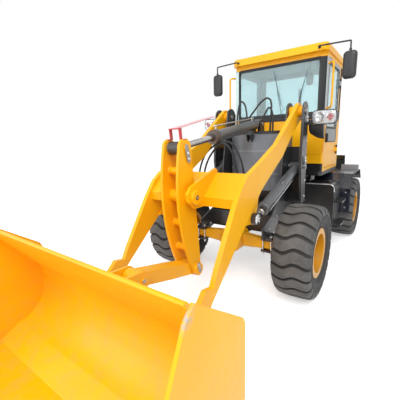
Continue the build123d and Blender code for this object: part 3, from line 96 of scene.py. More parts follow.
# ---------------------------------------------------------------- camera and light
CAMERA_PLACE = (3.615, 1.770, 1.803)
CAMERA_YAW, CAMERA_PITCH, CAMERA_ROLL = (math.radians(a) for a in (-144.02, -11.58, -1.64))
CAMERA_LENS = 25.52
SENSOR_WIDTH = 36.0
SKY_LIGHT = 0.58
LAMP_TARGET = (0.3, 0, 1.0)
LAMP_SIZE = 7.0
# name, place, power in W: a soft key from high on the left, and a weak fill
LAMPS = (("key", (7.5, 4.2, 9.6), 1060.0), ("fill", (9.0, -5.0, 5.0), 280.0))


def make_camera():
    """A wide lens near the ground, ahead of the machine and to its left."""
    level = math.cos(CAMERA_PITCH)
    forward = Vector((math.cos(CAMERA_YAW) * level, math.sin(CAMERA_YAW) * level, math.sin(CAMERA_PITCH)))
    level_right = forward.cross(Vector((0, 0, 1))).normalized()
    level_up = level_right.cross(forward)
    right = level_right * math.cos(CAMERA_ROLL) + level_up * math.sin(CAMERA_ROLL)
    up = level_up * math.cos(CAMERA_ROLL) - level_right * math.sin(CAMERA_ROLL)
    data = bpy.data.cameras.new("camera")
    data.sensor_width = SENSOR_WIDTH
    data.lens = CAMERA_LENS
    data.clip_start, data.clip_end = 0.05, 200.0
    camera = link_object(bpy.data.objects.new("camera", data))
    turn = Matrix((right, up, -forward)).transposed().to_4x4()
    camera.matrix_world = Matrix.Translation(CAMERA_PLACE) @ turn
    bpy.context.scene.camera = camera


def make_light():
    """Bright overcast sky: white where it is seen, dimmer where it lights."""
    world = bpy.data.worlds.new("overcast")
    bpy.context.scene.world = world
    world.use_nodes = True
    sky = Nodes()
    sky.tree = world.node_tree
    strength = sky.node("ShaderNodeMapRange", Value=sky.seen(), To_Min=SKY_LIGHT, To_Max=1.0)
    back = sky.tree.nodes["Background"]
    sky.feed(back.inputs["Strength"], strength.outputs["Result"])
    back.inputs["Color"].default_value = (1, 1, 1, 1)
    for name, place, power in LAMPS:
        data = bpy.data.lights.new(name, "AREA")
        data.shape = "SQUARE"
        data.size = LAMP_SIZE
        data.energy = power
        lamp = link_object(bpy.data.objects.new(name, data))
        aim = (Vector(LAMP_TARGET) - Vector(place)).to_track_quat("-Z", "Y")
        lamp.matrix_world = Matrix.Translation(place) @ aim.to_matrix().to_4x4()


make_camera()
make_light()
bpy.context.scene.view_settings.view_transform = "Standard"


# ---------------------------------------------------------------- finishes
class Finish(Nodes):
    """A node material being built."""

    def __init__(self, name):
        self.material = bpy.data.materials.new(name)
        self.material.use_nodes = True
        self.tree = self.material.node_tree
        self.shader = self.tree.nodes["Principled BSDF"]
        self.place = self.node("ShaderNodeTexCoord").outputs["Object"]

    def put(self, **inputs):
        """Set or link the shader's inputs."""
        for key, value in inputs.items():
            self.feed(self.shader.inputs[key.replace("_", " ")], value)

    def noise(self, scale, detail=4.0, roughness=0.5, stretch=(1, 1, 1)):
        spot = self.node("ShaderNodeMapping", Vector=self.place, Scale=stretch).outputs["Vector"]
        node = self.node("ShaderNodeTexNoise", Vector=spot, Scale=scale, Detail=detail, Roughness=roughness)
        return node.outputs["Fac"]

    def ramp(self, value, low, high, start=0.0, end=1.0):
        limits = {"From_Min": low, "From_Max": high, "To_Min": start, "To_Max": end}
        return self.node("ShaderNodeMapRange", Value=value, **limits).outputs["Result"]

    def mix(self, share, first, second):
        """Blend two colours, each (r, g, b) or a socket."""
        first, second = ((*c, 1) if isinstance(c, tuple) else c for c in (first, second))
        node = self.node("ShaderNodeMix", {"data_type": "RGBA"}, Factor=share, A=first, B=second)
        return node.outputs["Result"]

    def along(self, axis):
        """Place along an axis, in metres."""
        return self.node("ShaderNodeSeparateXYZ", Vector=self.place).outputs[axis]

    def above(self, axis, limit):
        return self.math("GREATER_THAN", self.along(axis), limit)

    def below(self, axis, limit):
        return self.math("LESS_THAN", self.along(axis), limit)

    def span(self, axis, low, high):
        """1 between two places along an axis, 0 outside."""
        return self.math("MULTIPLY", self.above(axis, low), self.below(axis, high))

    def all_of(self, *masks):
        result = masks[0]
        for mask in masks[1:]:
            result = self.math("MULTIPLY", result, mask)
        return result

    def attribute(self, name):
        return self.node("ShaderNodeAttribute", {"attribute_name": name}).outputs["Fac"]

    def near(self, centre, radius, soft=0.4):
        """1 near a point, falling to 0 at a radius."""
        node = self.node("ShaderNodeVectorMath", {"operation": "DISTANCE"})
        self.feed(node.inputs[0], self.place)
        self.feed(node.inputs[1], centre)
        return self.ramp(node.outputs["Value"], radius, radius * soft)

    def bump(self, value, distance=0.001, strength=0.3):
        node = self.node("ShaderNodeBump", Height=value, Distance=distance, Strength=strength)
        self.put(Normal=node.outputs["Normal"])


DUST = (0.30, 0.25, 0.18)
DUST_TOP = 1.1  # height where the ground's dust ends


def paint(name, colour, shade, rough=0.32, coat=0.35, dust_share=0.25, patches=None, sheen=0.5, peel=0.12):
    """Gloss paint: slow drift of tone, orange-peel bump, and dust near the ground."""
    f = Finish(name)
    tone = f.mix(f.ramp(f.noise(1.7, 3.0), 0.35, 0.65), colour, shade)
    low = f.ramp(f.along("Z"), DUST_TOP, 0.0)
    speck = f.ramp(f.noise(9.0, 8.0, 0.65), 0.42, 0.72)
    cover = f.mix(f.math("MULTIPLY", f.math("MULTIPLY", low, speck), dust_share), tone, DUST)
    for mask, patch in patches(f) if patches else ():
        cover = f.mix(mask, cover, patch)
    f.put(Base_Color=cover, Coat_Weight=coat, Coat_Roughness=0.12, Specular_IOR_Level=sheen, Roughness=rough)
    if peel:
        f.put(Roughness=f.ramp(f.noise(22.0, 6.0), 0.3, 0.75, rough - 0.05, rough + 0.12))
        f.bump(f.noise(160.0, 2.0), 0.0004, peel)
    return f.material


def rubber_finish():
    """Rubber: dark walls and grooves, paler bar tops that are scuffed and carry a painted highlight, and a trace of
    dust.
    """
    f = Finish("tyre_rubber")
    # worn is the share of the pale top tone: scuffed rubber together with a painted highlight
    worn = f.attribute("scuff_and_highlight")
    dark = f.mix(f.noise(6.0, 6.0), (0.024, 0.024, 0.025), (0.042, 0.042, 0.043))
    scuffed = f.ramp(f.noise(5.0, 8.0, 0.62), 0.35, 0.68)
    pale = f.mix(scuffed, (0.074, 0.073, 0.072), (0.135, 0.133, 0.131))
    tone = f.mix(f.ramp(worn, 0.15, 0.95), dark, pale)
    dust = f.math("MULTIPLY", f.math("MULTIPLY", f.ramp(f.noise(14.0, 8.0, 0.7), 0.5, 0.8), worn), 0.35)
    f.put(Base_Color=f.mix(dust, tone, (0.21, 0.205, 0.195)), Specular_IOR_Level=0.35)
    f.put(Roughness=f.ramp(f.noise(30.0, 6.0), 0.3, 0.7, 0.58, 0.82))
    f.bump(f.noise(120.0, 6.0, 0.7), 0.0015, 0.35)
    return f.material


def steel_finish(name, colour, rough, grain=(1, 1, 30)):
    """Bare metal, brushed along a grain."""
    f = Finish(name)
    tone = f.mix(f.noise(12.0, 6.0), colour, tuple(c * 0.72 for c in colour))
    sheen = f.ramp(f.noise(60.0, 4.0, 0.5, grain), 0.3, 0.7, rough - 0.08, rough + 0.1)
    f.put(Base_Color=tone, Metallic=1.0, Roughness=sheen)
    f.bump(f.noise(220.0, 3.0, 0.5, grain), 0.0002, 0.15)
    return f.material


def plain_finish(name, colour, shade, grain, rough, bump, **inputs):
    """Matt finish: grain is the (scale, detail) of its tone, bump (scale, detail, depth, strength)."""
    f = Finish(name)
    f.put(Base_Color=f.mix(f.noise(*grain), colour, shade), Roughness=rough, **inputs)
    if bump:
        scale, detail, depth, strength = bump
        f.bump(f.noise(scale, detail), depth, strength)
    return f.material


def plastic_finish(name, colour, rough=0.45):
    shade = tuple(c * 1.5 + 0.004 for c in colour)
    return plain_finish(name, colour, shade, (8.0, 5.0), rough, (400.0, 3.0, 0.0003, 0.25))


def glass_finish(name, colour, rough=0.02, weight=0.85):
    shade = tuple(c * 0.94 for c in colour)
    return plain_finish(name, colour, shade, (3.0, 3.0), rough, None, IOR=1.45, Transmission_Weight=weight)


def lens_finish(name, colour):
    """Moulded lens over a lit-looking body colour."""
    shade = tuple(min(1, c * 1.25) for c in colour)
    return plain_finish(name, colour, shade, (40.0, 2.0), 0.12, None, Coat_Weight=1.0, Coat_Roughness=0.03)


YELLOW, YELLOW_SHADE = (0.965, 0.480, 0.002), (0.93, 0.435, 0.003)


def yellow_paint(name, patches=None):
    return paint(name, YELLOW, YELLOW_SHADE, 0.36, 0.12, patches=patches, sheen=0.28)


CASTING = ((0.09, 0.10, 0.105), (0.15, 0.155, 0.16), (6.0, 6.0), 0.6, (90.0, 6.0, 0.001, 0.4))
CLOTH = ((0.018, 0.018, 0.02), (0.05, 0.05, 0.055), (300.0, 2.0), 0.9, (500.0, 2.0, 0.0006, 0.5))
FINISHES = {
    "machine_yellow": yellow_paint("yellow_paint"),
    "frame_grey": paint("anthracite_paint", (0.021, 0.023, 0.027), (0.031, 0.034, 0.038), 0.34, 0.3, 0.05),
    "panel_grey": paint("grey_paint", (0.150, 0.170, 0.200), (0.185, 0.210, 0.245), 0.36, 0.3, 0.05),
    "black_paint": paint("black_paint", (0.008, 0.008, 0.009), (0.015, 0.015, 0.017), 0.36, 0.3, 0.10),
    "tyre": rubber_finish(),
    "bare_steel": steel_finish("worn_steel", (0.52, 0.50, 0.47), 0.42),
    "chrome_rod": steel_finish("hard_chrome", (0.80, 0.80, 0.81), 0.16, (30, 30, 1)),
    "engine_grey": plain_finish("engine_castings", *CASTING),
    "window_glass": glass_finish("tinted_glass", (0.735, 0.935, 0.960)),
    "black_plastic": plastic_finish("black_plastic", (0.014, 0.015, 0.017)),
    "seat_cover": plain_finish("seat_cloth", *CLOTH, Sheen_Weight=0.3),
    "lamp_lens": glass_finish("clear_lens", (0.9, 0.91, 0.93), 0.08, 0.6),
    "red_lens": lens_finish("red_lens", (0.50, 0.015, 0.012)),
}
RUBBER_SEAL = plastic_finish("seal_rubber", (0.010, 0.010, 0.011), 0.6)
HOSE_RUBBER = plastic_finish("hose_rubber", (0.011, 0.011, 0.012), 0.42)
GREY_PLATE = paint("grey_plate_paint", (0.24, 0.25, 0.26), (0.33, 0.33, 0.34), 0.45, 0.1)
PALE_GREY = paint("pale_edge_paint", (0.42, 0.43, 0.45), (0.50, 0.51, 0.52), 0.4, 0.1)
RED_PAINT = paint("red_paint", (0.52, 0.022, 0.030), (0.60, 0.040, 0.050), 0.38, 0.3)
PINK_PAINT = paint("faded_red_paint", (0.80, 0.40, 0.43), (0.84, 0.52, 0.55), 0.38, 0.3)
GLOSS_BARREL = paint("barrel_enamel", (0.078, 0.082, 0.087), (0.090, 0.094, 0.100), 0.30, 0.40, 0.0, peel=0)
# rims and rolled rim edges: darker yellow that is painted shade of the wheels' dishes, with dust near the ground as
# well
RIM_YELLOW_PAINTED_SHADE = paint("rim_yellow_painted_shade", (0.70, 0.330, 0.004), (0.60, 0.270, 0.004), 0.42, 0.2, 0.45)
# door's lower pane: opaque dark green glass, with the shade of the cab's inside behind it painted in
SHADED_OPAQUE_GLASS = glass_finish("glass_painted_shade", (0.008, 0.030, 0.026), 0.05, 0.0)
BONDED_EDGE = plastic_finish("bonded_glass_edge", (0.42, 0.56, 0.58), 0.12)
LINING = plastic_finish("cab_lining_grey", (0.20, 0.235, 0.26), 0.6)
AMBER = lens_finish("amber_lens", (0.80, 0.22, 0.01))
BROWN_STEEL = steel_finish("heat_brown_steel", (0.20, 0.155, 0.13), 0.45)
BRIGHT_ZINC = steel_finish("bright_zinc", (0.74, 0.75, 0.76), 0.30, (1, 1, 1))
REFLECTOR = steel_finish("lamp_reflector", (0.88, 0.88, 0.90), 0.12, (1, 1, 1))
PEARL = plastic_finish("lamp_pearl", (0.70, 0.70, 0.68), 0.3)
CLEAR_COVER = glass_finish("lamp_cover_clear", (0.94, 0.95, 0.96), 0.03, 0.95)


def cab_patches(f):
    """Grey lining inside, dark posts round the windows, and a dark sill under the cab's front."""
    flanks = f.all_of(f.span("Z", 2.145, 2.955), f.above("X", -1.075))
    inside = f.all_of(f.span("Y", -0.720, 0.720), f.span("X", -2.095, -1.015), f.below("Z", 3.005))
    return (
        (inside, (0.30, 0.34, 0.37)),
        (flanks, (0.46, 0.50, 0.52)),
        (f.all_of(flanks, f.span("Y", -0.732, 0.732)), (0.014, 0.015, 0.017)),
        (f.all_of(f.below("Z", 1.426), f.above("X", -1.020)), (0.012, 0.012, 0.014)),
    )


def door_patches(f):
    """The door's window frame is grey, its lower half yellow."""
    return ((f.span("Z", 1.985, 3.2), (0.34, 0.36, 0.38)),)


def bucket_patches(f):
    """Paint worn to bare steel at the upper corners of the side plates."""
    ragged = f.ramp(f.noise(45.0, 8.0, 0.7), 0.38, 0.56)
    worn = f.math("MAXIMUM", *(f.near((2.879, hand * 1.14, 1.15), 0.085) for hand in HANDS))
    return ((f.math("MULTIPLY", worn, ragged), (0.42, 0.41, 0.38)),)


def tail_patches(f):
    """Only the rear half of each tail lamp is red: its housing is black."""
    return ((f.above("X", -3.340), (0.015, 0.015, 0.016)),)


def rod_finish(name, eye_centre):
    """Hard chrome, with the rod's eye painted grey."""
    f = Finish(name)
    eye = f.near(eye_centre, 0.090, 0.97)
    bright = f.mix(f.noise(12.0, 6.0), (0.58, 0.58, 0.59), (0.44, 0.44, 0.45))
    f.put(Base_Color=f.mix(eye, bright, (0.085, 0.080, 0.078)))
    f.put(Metallic=f.ramp(eye, 0.0, 1.0, 1.0, 0.55), Roughness=f.ramp(eye, 0.0, 1.0, 0.15, 0.48))
    f.bump(f.noise(220.0, 3.0, 0.5, (30, 30, 1)), 0.0002, 0.15)
    return f.material


def dress(finish, *nodes):
    """Give carried-over nodes their finish."""
    for node in nodes:
        mesh = NODES[node].data
        mesh.materials.clear()
        mesh.materials.append(finish)


for part in frame["record"]["subparts"]:
    dress(FINISHES[part["material_slot"]], part["node"])
dress(FINISHES["machine_yellow"], "rocker_pivot_pin", "link_rear_pin")
# rims: darker yellow as painted shade of their dishes
dress(RIM_YELLOW_PAINTED_SHADE, *(f"rim_{end}_{side}" for end in ENDS for side, _ in SIDES))
dress(yellow_paint("cab_paint", cab_patches), "cab_shell")
dress(yellow_paint("bucket_paint", bucket_patches), "bucket")
for side, _ in SIDES:
    dress(yellow_paint(f"door_paint_{side}", door_patches), f"door_{side}")
LAMP_RED, LAMP_RED_SHADE = (0.50, 0.015, 0.012), (0.55, 0.02, 0.02)
dress(paint("tail_lamp_red", LAMP_RED, LAMP_RED_SHADE, 0.15, 1.0, patches=tail_patches), "tail_lamps")
dress(paint("fender_enamel", (0.010, 0.012, 0.022), (0.016, 0.019, 0.032), 0.20, 0.9, 0.0), "rear_fenders")
dress(GLOSS_BARREL, "lift_barrel_left", "lift_barrel_right", "tilt_barrel")


# ---------------------------------------------------------------- places
def middle(node):
    low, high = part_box(node)
    return (Vector(low) + Vector(high)) / 2


AXLE = {end: middle(f"tyre_{end}_left") for end in ENDS}
FRONT_X, HALF_TRACK, AXLE_Z = AXLE["front"]
REAR_X = AXLE["rear"].x
STEER_BASE_BACK = 0.520  # from the hinge back to the pins that hold the steering cylinders
PIVOT_X = middle("articulation_pins").x + STEER_BASE_BACK / 2

# linkage pins: x from the front axle, z
BOOM_PIVOT = (-0.716, 2.156)
LIFT_BASE = (-0.750, 1.440)
LIFT_PIN = (0.570, 1.000)
TILT_BASE = (-0.680, 2.030)
ROCKER_TOP = (1.125, 1.750)
ROCKER_PIVOT = (1.110, 1.290)
ROCKER_FOOT = (1.000, 0.505)
LINK_PIN = (1.745, 0.690)
BUCKET_PIN = (1.730, 0.315)
ARM_Y = 0.557
ARM_HALF = 0.025  # half of an arm's thickness
X_AXIS, Y_AXIS, Z_AXIS = Vector((1, 0, 0)), Vector((0, 1, 0)), Vector((0, 0, 1))


def pin(place, y):
    """A linkage pin's point on its own line, at y."""
    return Vector((FRONT_X + place[0], y, place[1]))


def apart(hand, inner, outer):
    """Low and high y between two distances out from the middle, on one side."""
    return sorted((hand * inner, hand * outer))


# ---------------------------------------------------------------- outlines
def on_axis(axis, depth, a, b):
    """Point at a depth along an axis: (a, b) is (x, z) for y, (y, z) for x and (x, y) for z."""
    return {"x": (depth, a, b), "y": (a, depth, b), "z": (a, b, depth)}[axis]


def rect(a0, b0, a1, b1):
    """Corner points of a rectangle."""
    return (a0, b0), (a1, b0), (a1, b1), (a0, b1)


def rounded(low, high, radius, steps=4):
    """Corner points of a rounded rectangle between (a, b) low and high."""
    outline = []
    right, top, left, bottom = high[0] - radius, high[1] - radius, low[0] + radius, low[1] + radius
    for a, b, start in ((right, top, 0), (left, top, 90), (left, bottom, 180), (right, bottom, 270)):
        for k in range(steps + 1):
            turn = math.radians(start + 90 * k / steps)
            outline.append((a + radius * math.cos(turn), b + radius * math.sin(turn)))
    return outline


def about(centre, half, radius, steps=4, grow=0.0):
    """Rounded rectangle about a centre, with its half sizes grown all round."""
    (a, b), (across, up) = centre, half
    return rounded((a - across - grow, b - up - grow), (a + across + grow, b + up + grow), radius, steps)


def spokes(across, axis, steps, start=0.0):
    """Unit vectors round an axis."""
    other = axis.cross(across)
    turns = [2 * math.pi * k / steps + start for k in range(steps)]
    return [across * math.cos(turn) + other * math.sin(turn) for turn in turns]


def smooth_line(points, steps=8):
    """Points along a smooth curve through the given ones."""
    run = []
    last = len(points) - 1
    for k in range(last):
        p0, p1, p2, p3 = points[max(k - 1, 0)], points[k], points[k + 1], points[min(k + 2, last)]
        for s in range(steps):
            t = s / steps
            bend = (2 * p0 - 5 * p1 + 4 * p2 - p3) * t * t
            twist = (3 * p1 - p0 - 3 * p2 + p3) * t * t * t
            run.append(0.5 * (2 * p1 + (p2 - p0) * t + bend + twist))
    run.append(points[-1])
    return run


# ---------------------------------------------------------------- shapes
SMOOTH_BELOW = 38  # degrees between faces
ROUND_ABOVE = 35
ROUNDING = {"profile": 0.6, "affect": "EDGES", "clamp_overlap": True}


def finished(name, mesh, body, slot, look=None):
    """Put a mesh in the scene, with its finish, on the body that carries it."""
    mesh.materials.clear()
    mesh.materials.append(look or FINISHES[slot])
    thing = link_object(bpy.data.objects.new(name, mesh))
    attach(thing, body)
    return thing


def shade_smooth(mesh, sharp_deg):
    """Smooth faces, with edges over an angle kept sharp."""
    mesh.polygons.foreach_set("use_smooth", [True] * len(mesh.polygons))
    mesh.set_sharp_from_angle(angle=math.radians(sharp_deg))


class Shape:
    """Solids gathered in one mesh: prisms, bars, pipes and turned parts."""

    def __init__(self):
        self.bm = bmesh.new()

    def verts(self, places):
        return [self.bm.verts.new(place) for place in places]

    def join(self, rings, caps=True, loop=False):
        """Faces between rings of as many points, with the ends capped or the last joined to the first."""
        if caps:
            self.bm.faces.new(rings[0])
            self.bm.faces.new(rings[-1][::-1])
        for first, second in zip(rings, rings[1:] + rings[:1] * loop):
            for k in range(len(first)):
                after = (k + 1) % len(first)
                self.bm.faces.new((first[k], second[k], second[after], first[after]))

    def prism(self, outline, low, high, axis="y"):
        """Outline pushed along an axis."""
        self.join([self.verts(on_axis(axis, depth, a, b) for a, b in outline) for depth in (low, high)])

    def block(self, low, high):
        (x0, y0, z0), (x1, y1, z1) = low, high
        self.prism(rect(x0, z0, x1, z1), y0, y1)

    def rim(self, outer, inner, low, high, axis):
        """Closed frame between two outlines with as many points each."""
        edges = ((outer, low), (outer, high), (inner, high), (inner, low))
        rings = [self.verts(on_axis(axis, depth, a, b) for a, b in outline) for outline, depth in edges]
        self.join(rings, caps=False, loop=True)

    def turned(self, profile, origin, axis, steps=32):
        """Profile of (distance, radius) turned about an axis; ends of radius 0 are closed."""
        origin, axis = Vector(origin), Vector(axis).normalized()
        round_axis = spokes(axis.orthogonal().normalized(), axis, steps)
        rings = []
        for distance, radius in profile:
            centre = origin + axis * distance
            rings.append(self.verts([centre + spoke * radius for spoke in round_axis] if radius > 0 else [centre]))
        loop = len(rings[0]) > 1
        for first, second in zip(rings, rings[1:] + rings[:1] * loop):
            for k in range(steps):
                a, b, n = k % len(first), k % len(second), k + 1
                quad = (first[a], second[b], second[n % len(second)], first[n % len(first)])
                corners = list(dict.fromkeys(quad))
                if len(corners) > 2:
                    self.bm.faces.new(corners)

    def plug(self, profile, origin, axis, steps=32):
        """Turned part with a flat face at both ends."""
        self.turned(((profile[0][0], 0.0), *profile, (profile[-1][0], 0.0)), origin, axis, steps)

    def bar(self, start, end, radius, steps=20):
        """Round bar with chamfered ends."""
        start, end = Vector(start), Vector(end)
        length = (end - start).length
        cut = radius * 0.15
        side = ((cut, radius), (length - cut, radius))
        self.turned(((0, 0), (0, radius - cut), *side, (length, radius - cut), (length, 0)), start, end - start, steps)

    def ring(self, origin, axis, radius, thick, width, steps=48):
        """Flat ring with chamfered outer edges, centred on origin."""
        half, outer = width / 2, radius + thick
        cut = min(thick, width) * 0.25
        rim = ((-half, outer - cut), (-half + cut, outer), (half - cut, outer), (half, outer - cut))
        self.turned(((-half, radius), *rim, (half, radius)), origin, axis, steps)

    def tube(self, points, radius, sides=10):
        """Pipe through the points, with its corners rounded by a smooth curve."""
        run = smooth_line([Vector(p) for p in points])
        across = (run[1] - run[0]).orthogonal().normalized()
        rings = []
        for k, place in enumerate(run):
            ahead = run[min(k + 1, len(run) - 1)] - run[max(k - 1, 0)]
            ahead.normalize()
            across = (across - ahead * across.dot(ahead)).normalized()
            rings.append(self.verts(place + spoke * radius for spoke in spokes(across, ahead, sides)))
        self.join(rings)

    def skin(self, rings, wall):
        """Shell through rings of (x, outline), closed at its front, with a wall's thickness."""
        outer = [self.verts((x, a, b) for a, b in outline) for x, outline in rings]
        inner = []
        for x, outline in rings:
            cy, cz = (sum(point[i] for point in outline) / len(outline) for i in (0, 1))
            inner.append(self.verts((x - wall, cy + (a - cy) * 0.975, cz + (b - cz) * 0.96) for a, b in outline))
        for family in (outer, inner):
            self.join(family, caps=False)
            self.bm.faces.new(family[-1])
        self.join([outer[0], inner[0]], caps=False)

    def soften(self, width, segments=2):
        """Round the sharp edges."""
        self.bm.normal_update()
        bmesh.ops.recalc_face_normals(self.bm, faces=self.bm.faces)
        limit = math.radians(ROUND_ABOVE)
        sharp = [e for e in self.bm.edges if e.is_manifold and e.calc_face_angle(0) > limit]
        bmesh.ops.bevel(self.bm, geom=sharp, offset=width, segments=segments, **ROUNDING)

    def mesh(self, name):
        """Finish the mesh, with its faces outward."""
        bmesh.ops.recalc_face_normals(self.bm, faces=self.bm.faces)
        mesh = bpy.data.meshes.new(name)
        self.bm.to_mesh(mesh)
        self.bm.free()
        return mesh

    def done(self, name, body, slot, look=None, soft=0.0, segments=2):
        """Finish the shape as a piece that rides on a body, its edges rounded if soft is given."""
        if soft:
            self.soften(soft, segments)
        mesh = self.mesh(name)
        shade_smooth(mesh, SMOOTH_BELOW)
        return finished(name, mesh, body, slot, look)


# ---------------------------------------------------------------- what repeats
class Recipe(Nodes):
    """A geometry tree with named sizes, run once on a seed mesh."""

    def __init__(self, name):
        self.tree = bpy.data.node_groups.new(name, "GeometryNodeTree")
        for way in ("INPUT", "OUTPUT"):
            self.tree.interface.new_socket("Geometry", in_out=way, socket_type="NodeSocketGeometry")
        self.names = {}
        self.given = self.tree.nodes.new("NodeGroupInput")
        self.result = self.tree.nodes.new("NodeGroupOutput")

    def size(self, name, kind="NodeSocketFloat", value=None):
        socket = self.tree.interface.new_socket(name, in_out="INPUT", socket_type=kind)
        if value is not None:
            socket.default_value = value
        self.names[name] = socket.identifier
        return self.given.outputs[name]

    def vector(self, **axes):
        return self.node("ShaderNodeCombineXYZ", **axes).outputs[0]

    def cone(self, sides, top, bottom, depth):
        """Capped cone, or a prism where both radii are the same."""
        sizes = {"Vertices": sides, "Radius_Top": top, "Radius_Bottom": bottom, "Depth": depth}
        return self.node("GeometryNodeMeshCone", {"fill_type": "NGON"}, **sizes).outputs["Mesh"]

    def end(self, geometry, finish):
        real = self.node("GeometryNodeRealizeInstances", Geometry=geometry)
        painted = self.node("GeometryNodeSetMaterial", Geometry=real.outputs[0], Material=finish)
        self.tree.links.new(painted.outputs[0], self.result.inputs["Geometry"])

    def run(self, name, seed, **sizes):
        """Mesh that the tree makes of the seed mesh."""
        thing = link_object(bpy.data.objects.new(name + "_seed", seed))
        modifier = thing.modifiers.new("recipe", "NODES")
        modifier.node_group = self.tree
        for key, value in sizes.items():
            modifier[self.names[key]] = value
        mesh = evaluated(thing)
        mesh.name = name
        bpy.data.objects.remove(thing)
        return mesh


def evaluated(thing):
    """Mesh of an object with its modifiers applied."""
    return bpy.data.meshes.new_from_object(thing.evaluated_get(bpy.context.evaluated_depsgraph_get()))


# a fastener's crown and washer, as shares of its head and height
CROWN_TOP, CROWN_FOOT, CROWN_HEIGHT = 0.62, 0.88, 0.18
WASHER_TOP, WASHER_FOOT = 1.5, 1.62


def fastener_recipe():
    """Hexagon head with a chamfered top on a round washer, at each seed point."""
    r = Recipe("fasteners")
    head, height, washer = (r.size(name) for name in ("Head", "Height", "Washer"))
    finish = r.size("Finish", "NodeSocketMaterial")

    def part_of(size, share):
        return r.math("MULTIPLY", size, share)

    hexagon = r.cone(6, head, head, height)
    crown = r.cone(12, part_of(head, CROWN_TOP), part_of(head, CROWN_FOOT), part_of(height, CROWN_HEIGHT))
    lifted = r.node("GeometryNodeTransform", Geometry=crown, Translation=r.vector(Z=height)).outputs[0]
    disc = r.cone(18, part_of(head, WASHER_TOP), part_of(head, WASHER_FOOT), washer)
    joined = r.node("GeometryNodeJoinGeometry")
    for part in (hexagon, lifted, disc):
        r.tree.links.new(part, joined.inputs[0])
    facing = r.node("GeometryNodeInputNamedAttribute", {"data_type": "FLOAT_VECTOR"}, Name="facing")
    turn = r.node("FunctionNodeAlignRotationToVector", {"axis": "Z"}, Vector=facing.outputs[0]).outputs[0]
    points = r.node("GeometryNodeMeshToPoints", Mesh=r.given.outputs["Geometry"]).outputs[0]
    placing = {"Points": points, "Instance": joined.outputs[0], "Rotation": turn}
    r.end(r.node("GeometryNodeInstanceOnPoints", **placing).outputs[0], finish)
    return r


FASTENERS = fastener_recipe()


def bolts(name, places, body, size=(0.011, 0.010, 0.003), look=None, slot="bare_steel"):
    """Hexagon bolts at (point, direction) places; size is (head, height, washer)."""
    seed = bpy.data.meshes.new(name)
    seed.from_pydata([tuple(place) for place, _ in places], [], [])
    facing = seed.attributes.new("facing", "FLOAT_VECTOR", "POINT")
    for k, (_, direction) in enumerate(places):
        facing.data[k].vector = tuple(direction)
    finish = look or FINISHES[slot]
    head, height, washer = size
    mesh = FASTENERS.run(name, seed, Head=head, Height=height, Washer=washer, Finish=finish)
    finished(name, mesh, body, slot, finish)


def circle_places(centre, axis, radius, count, start=0.0):
    """Places round an axis, all facing along it."""
    axis = Vector(axis).normalized()
    ways = spokes(axis.orthogonal().normalized(), axis, count, start)
    return [(Vector(centre) + way * radius, axis) for way in ways]


# ---------------------------------------------------------------- tyres and wheels
TYRE_R = AXLE_Z
TYRE_BARS = 22
TYRE_STEPS = 88
GROOVE = 0.027
WALL_SCUFF_AND_HIGHLIGHT = 0.18
BAR_FLOOR = 0.506
TYRE_SMOOTH_BELOW = 32
# inside of the tread, its wall and bead: (outward, radius)
CARCASS = (
    (0.150, 0.286), (0.168, 0.290), (0.188, 0.322), (0.2035, 0.372), (0.2075, 0.418), (0.2045, 0.455),
    (0.1985, 0.474), (0.182, 0.492), (0.150, 0.505), (0.100, 0.511), (0.040, 0.514),
)
# moulded rings that stand a little proud of each wall: (radius, outward)
WALL_RINGS = ((0.338, 0.1945), (0.400, 0.2062), (0.428, 0.2068))
# a bar's crown, from the tread's middle out: (outward, radius of its top, depth of its chamfer)
HALF_BAR = (
    (0.0, 0.5375, 0.005), (0.0350, 0.5372, 0.005), (0.0700, 0.5362, 0.005), (0.1050, 0.5342, 0.005),
    (0.1400, 0.5305, 0.005), (0.1680, 0.5245, 0.005), (0.1860, 0.5125, 0.005), (0.1990, 0.494, 0.004),
    (0.2070, 0.470, 0.003), (0.2085, 0.446, 0.002),
)
BAR_ROWS = [(-outward, top, cut) for outward, top, cut in HALF_BAR[:0:-1]] + list(HALF_BAR)
# run of the groove across the tread: (outward, rise)
GROOVE_RUN = ((-0.220, 0.010), (-0.0714, -0.027), (0.0504, 0.027), (0.220, -0.014))


def groove_rise(outward):
    """Smooth wave through the groove's four points."""
    for (u0, r0), (u1, r1) in zip(GROOVE_RUN, GROOVE_RUN[1:]):
        if outward <= u1:
            share = (outward - u0) / (u1 - u0)
            return r0 + (r1 - r0) * (0.5 - 0.5 * math.cos(math.pi * share))
    return GROOVE_RUN[-1][1]


def tread_bar(hand):
    """One wavy bar of the tread about the Y axis, with its share of scuff and painted highlight written on its points.
    """
    bar = Shape()
    scuff_and_highlight = bar.bm.verts.layers.float.new("scuff_and_highlight")
    pitch = 2 * math.pi * TYRE_R / TYRE_BARS
    rows = []
    for outward, top, cut in BAR_ROWS:
        floor = min(BAR_FLOOR, top - 0.012)
        low = groove_rise(outward) + GROOVE / 2
        high = groove_rise(outward) + pitch - GROOVE / 2
        # third value: share of the pale tone of scuff and painted highlight, from the groove's floor to the bar's top
        flank = ((0.0005, floor, 0.0), (0.004, top - cut, 0.55), (0.010, top, 1.0))
        section = [(low + inset, radius, worn) for inset, radius, worn in flank]
        section.append(((low + high) / 2, top + 0.0003, 1.0))
        section += [(high - inset, radius, worn) for inset, radius, worn in reversed(flank)]
        row = []
        for run, radius, worn in section:
            angle = run / TYRE_R
            vert = bar.bm.verts.new((radius * math.cos(angle), hand * outward, radius * math.sin(angle)))
            vert[scuff_and_highlight] = worn
            row.append(vert)
        rows.append(row)
    bar.join(rows)
    return bar.mesh("tread_bar")


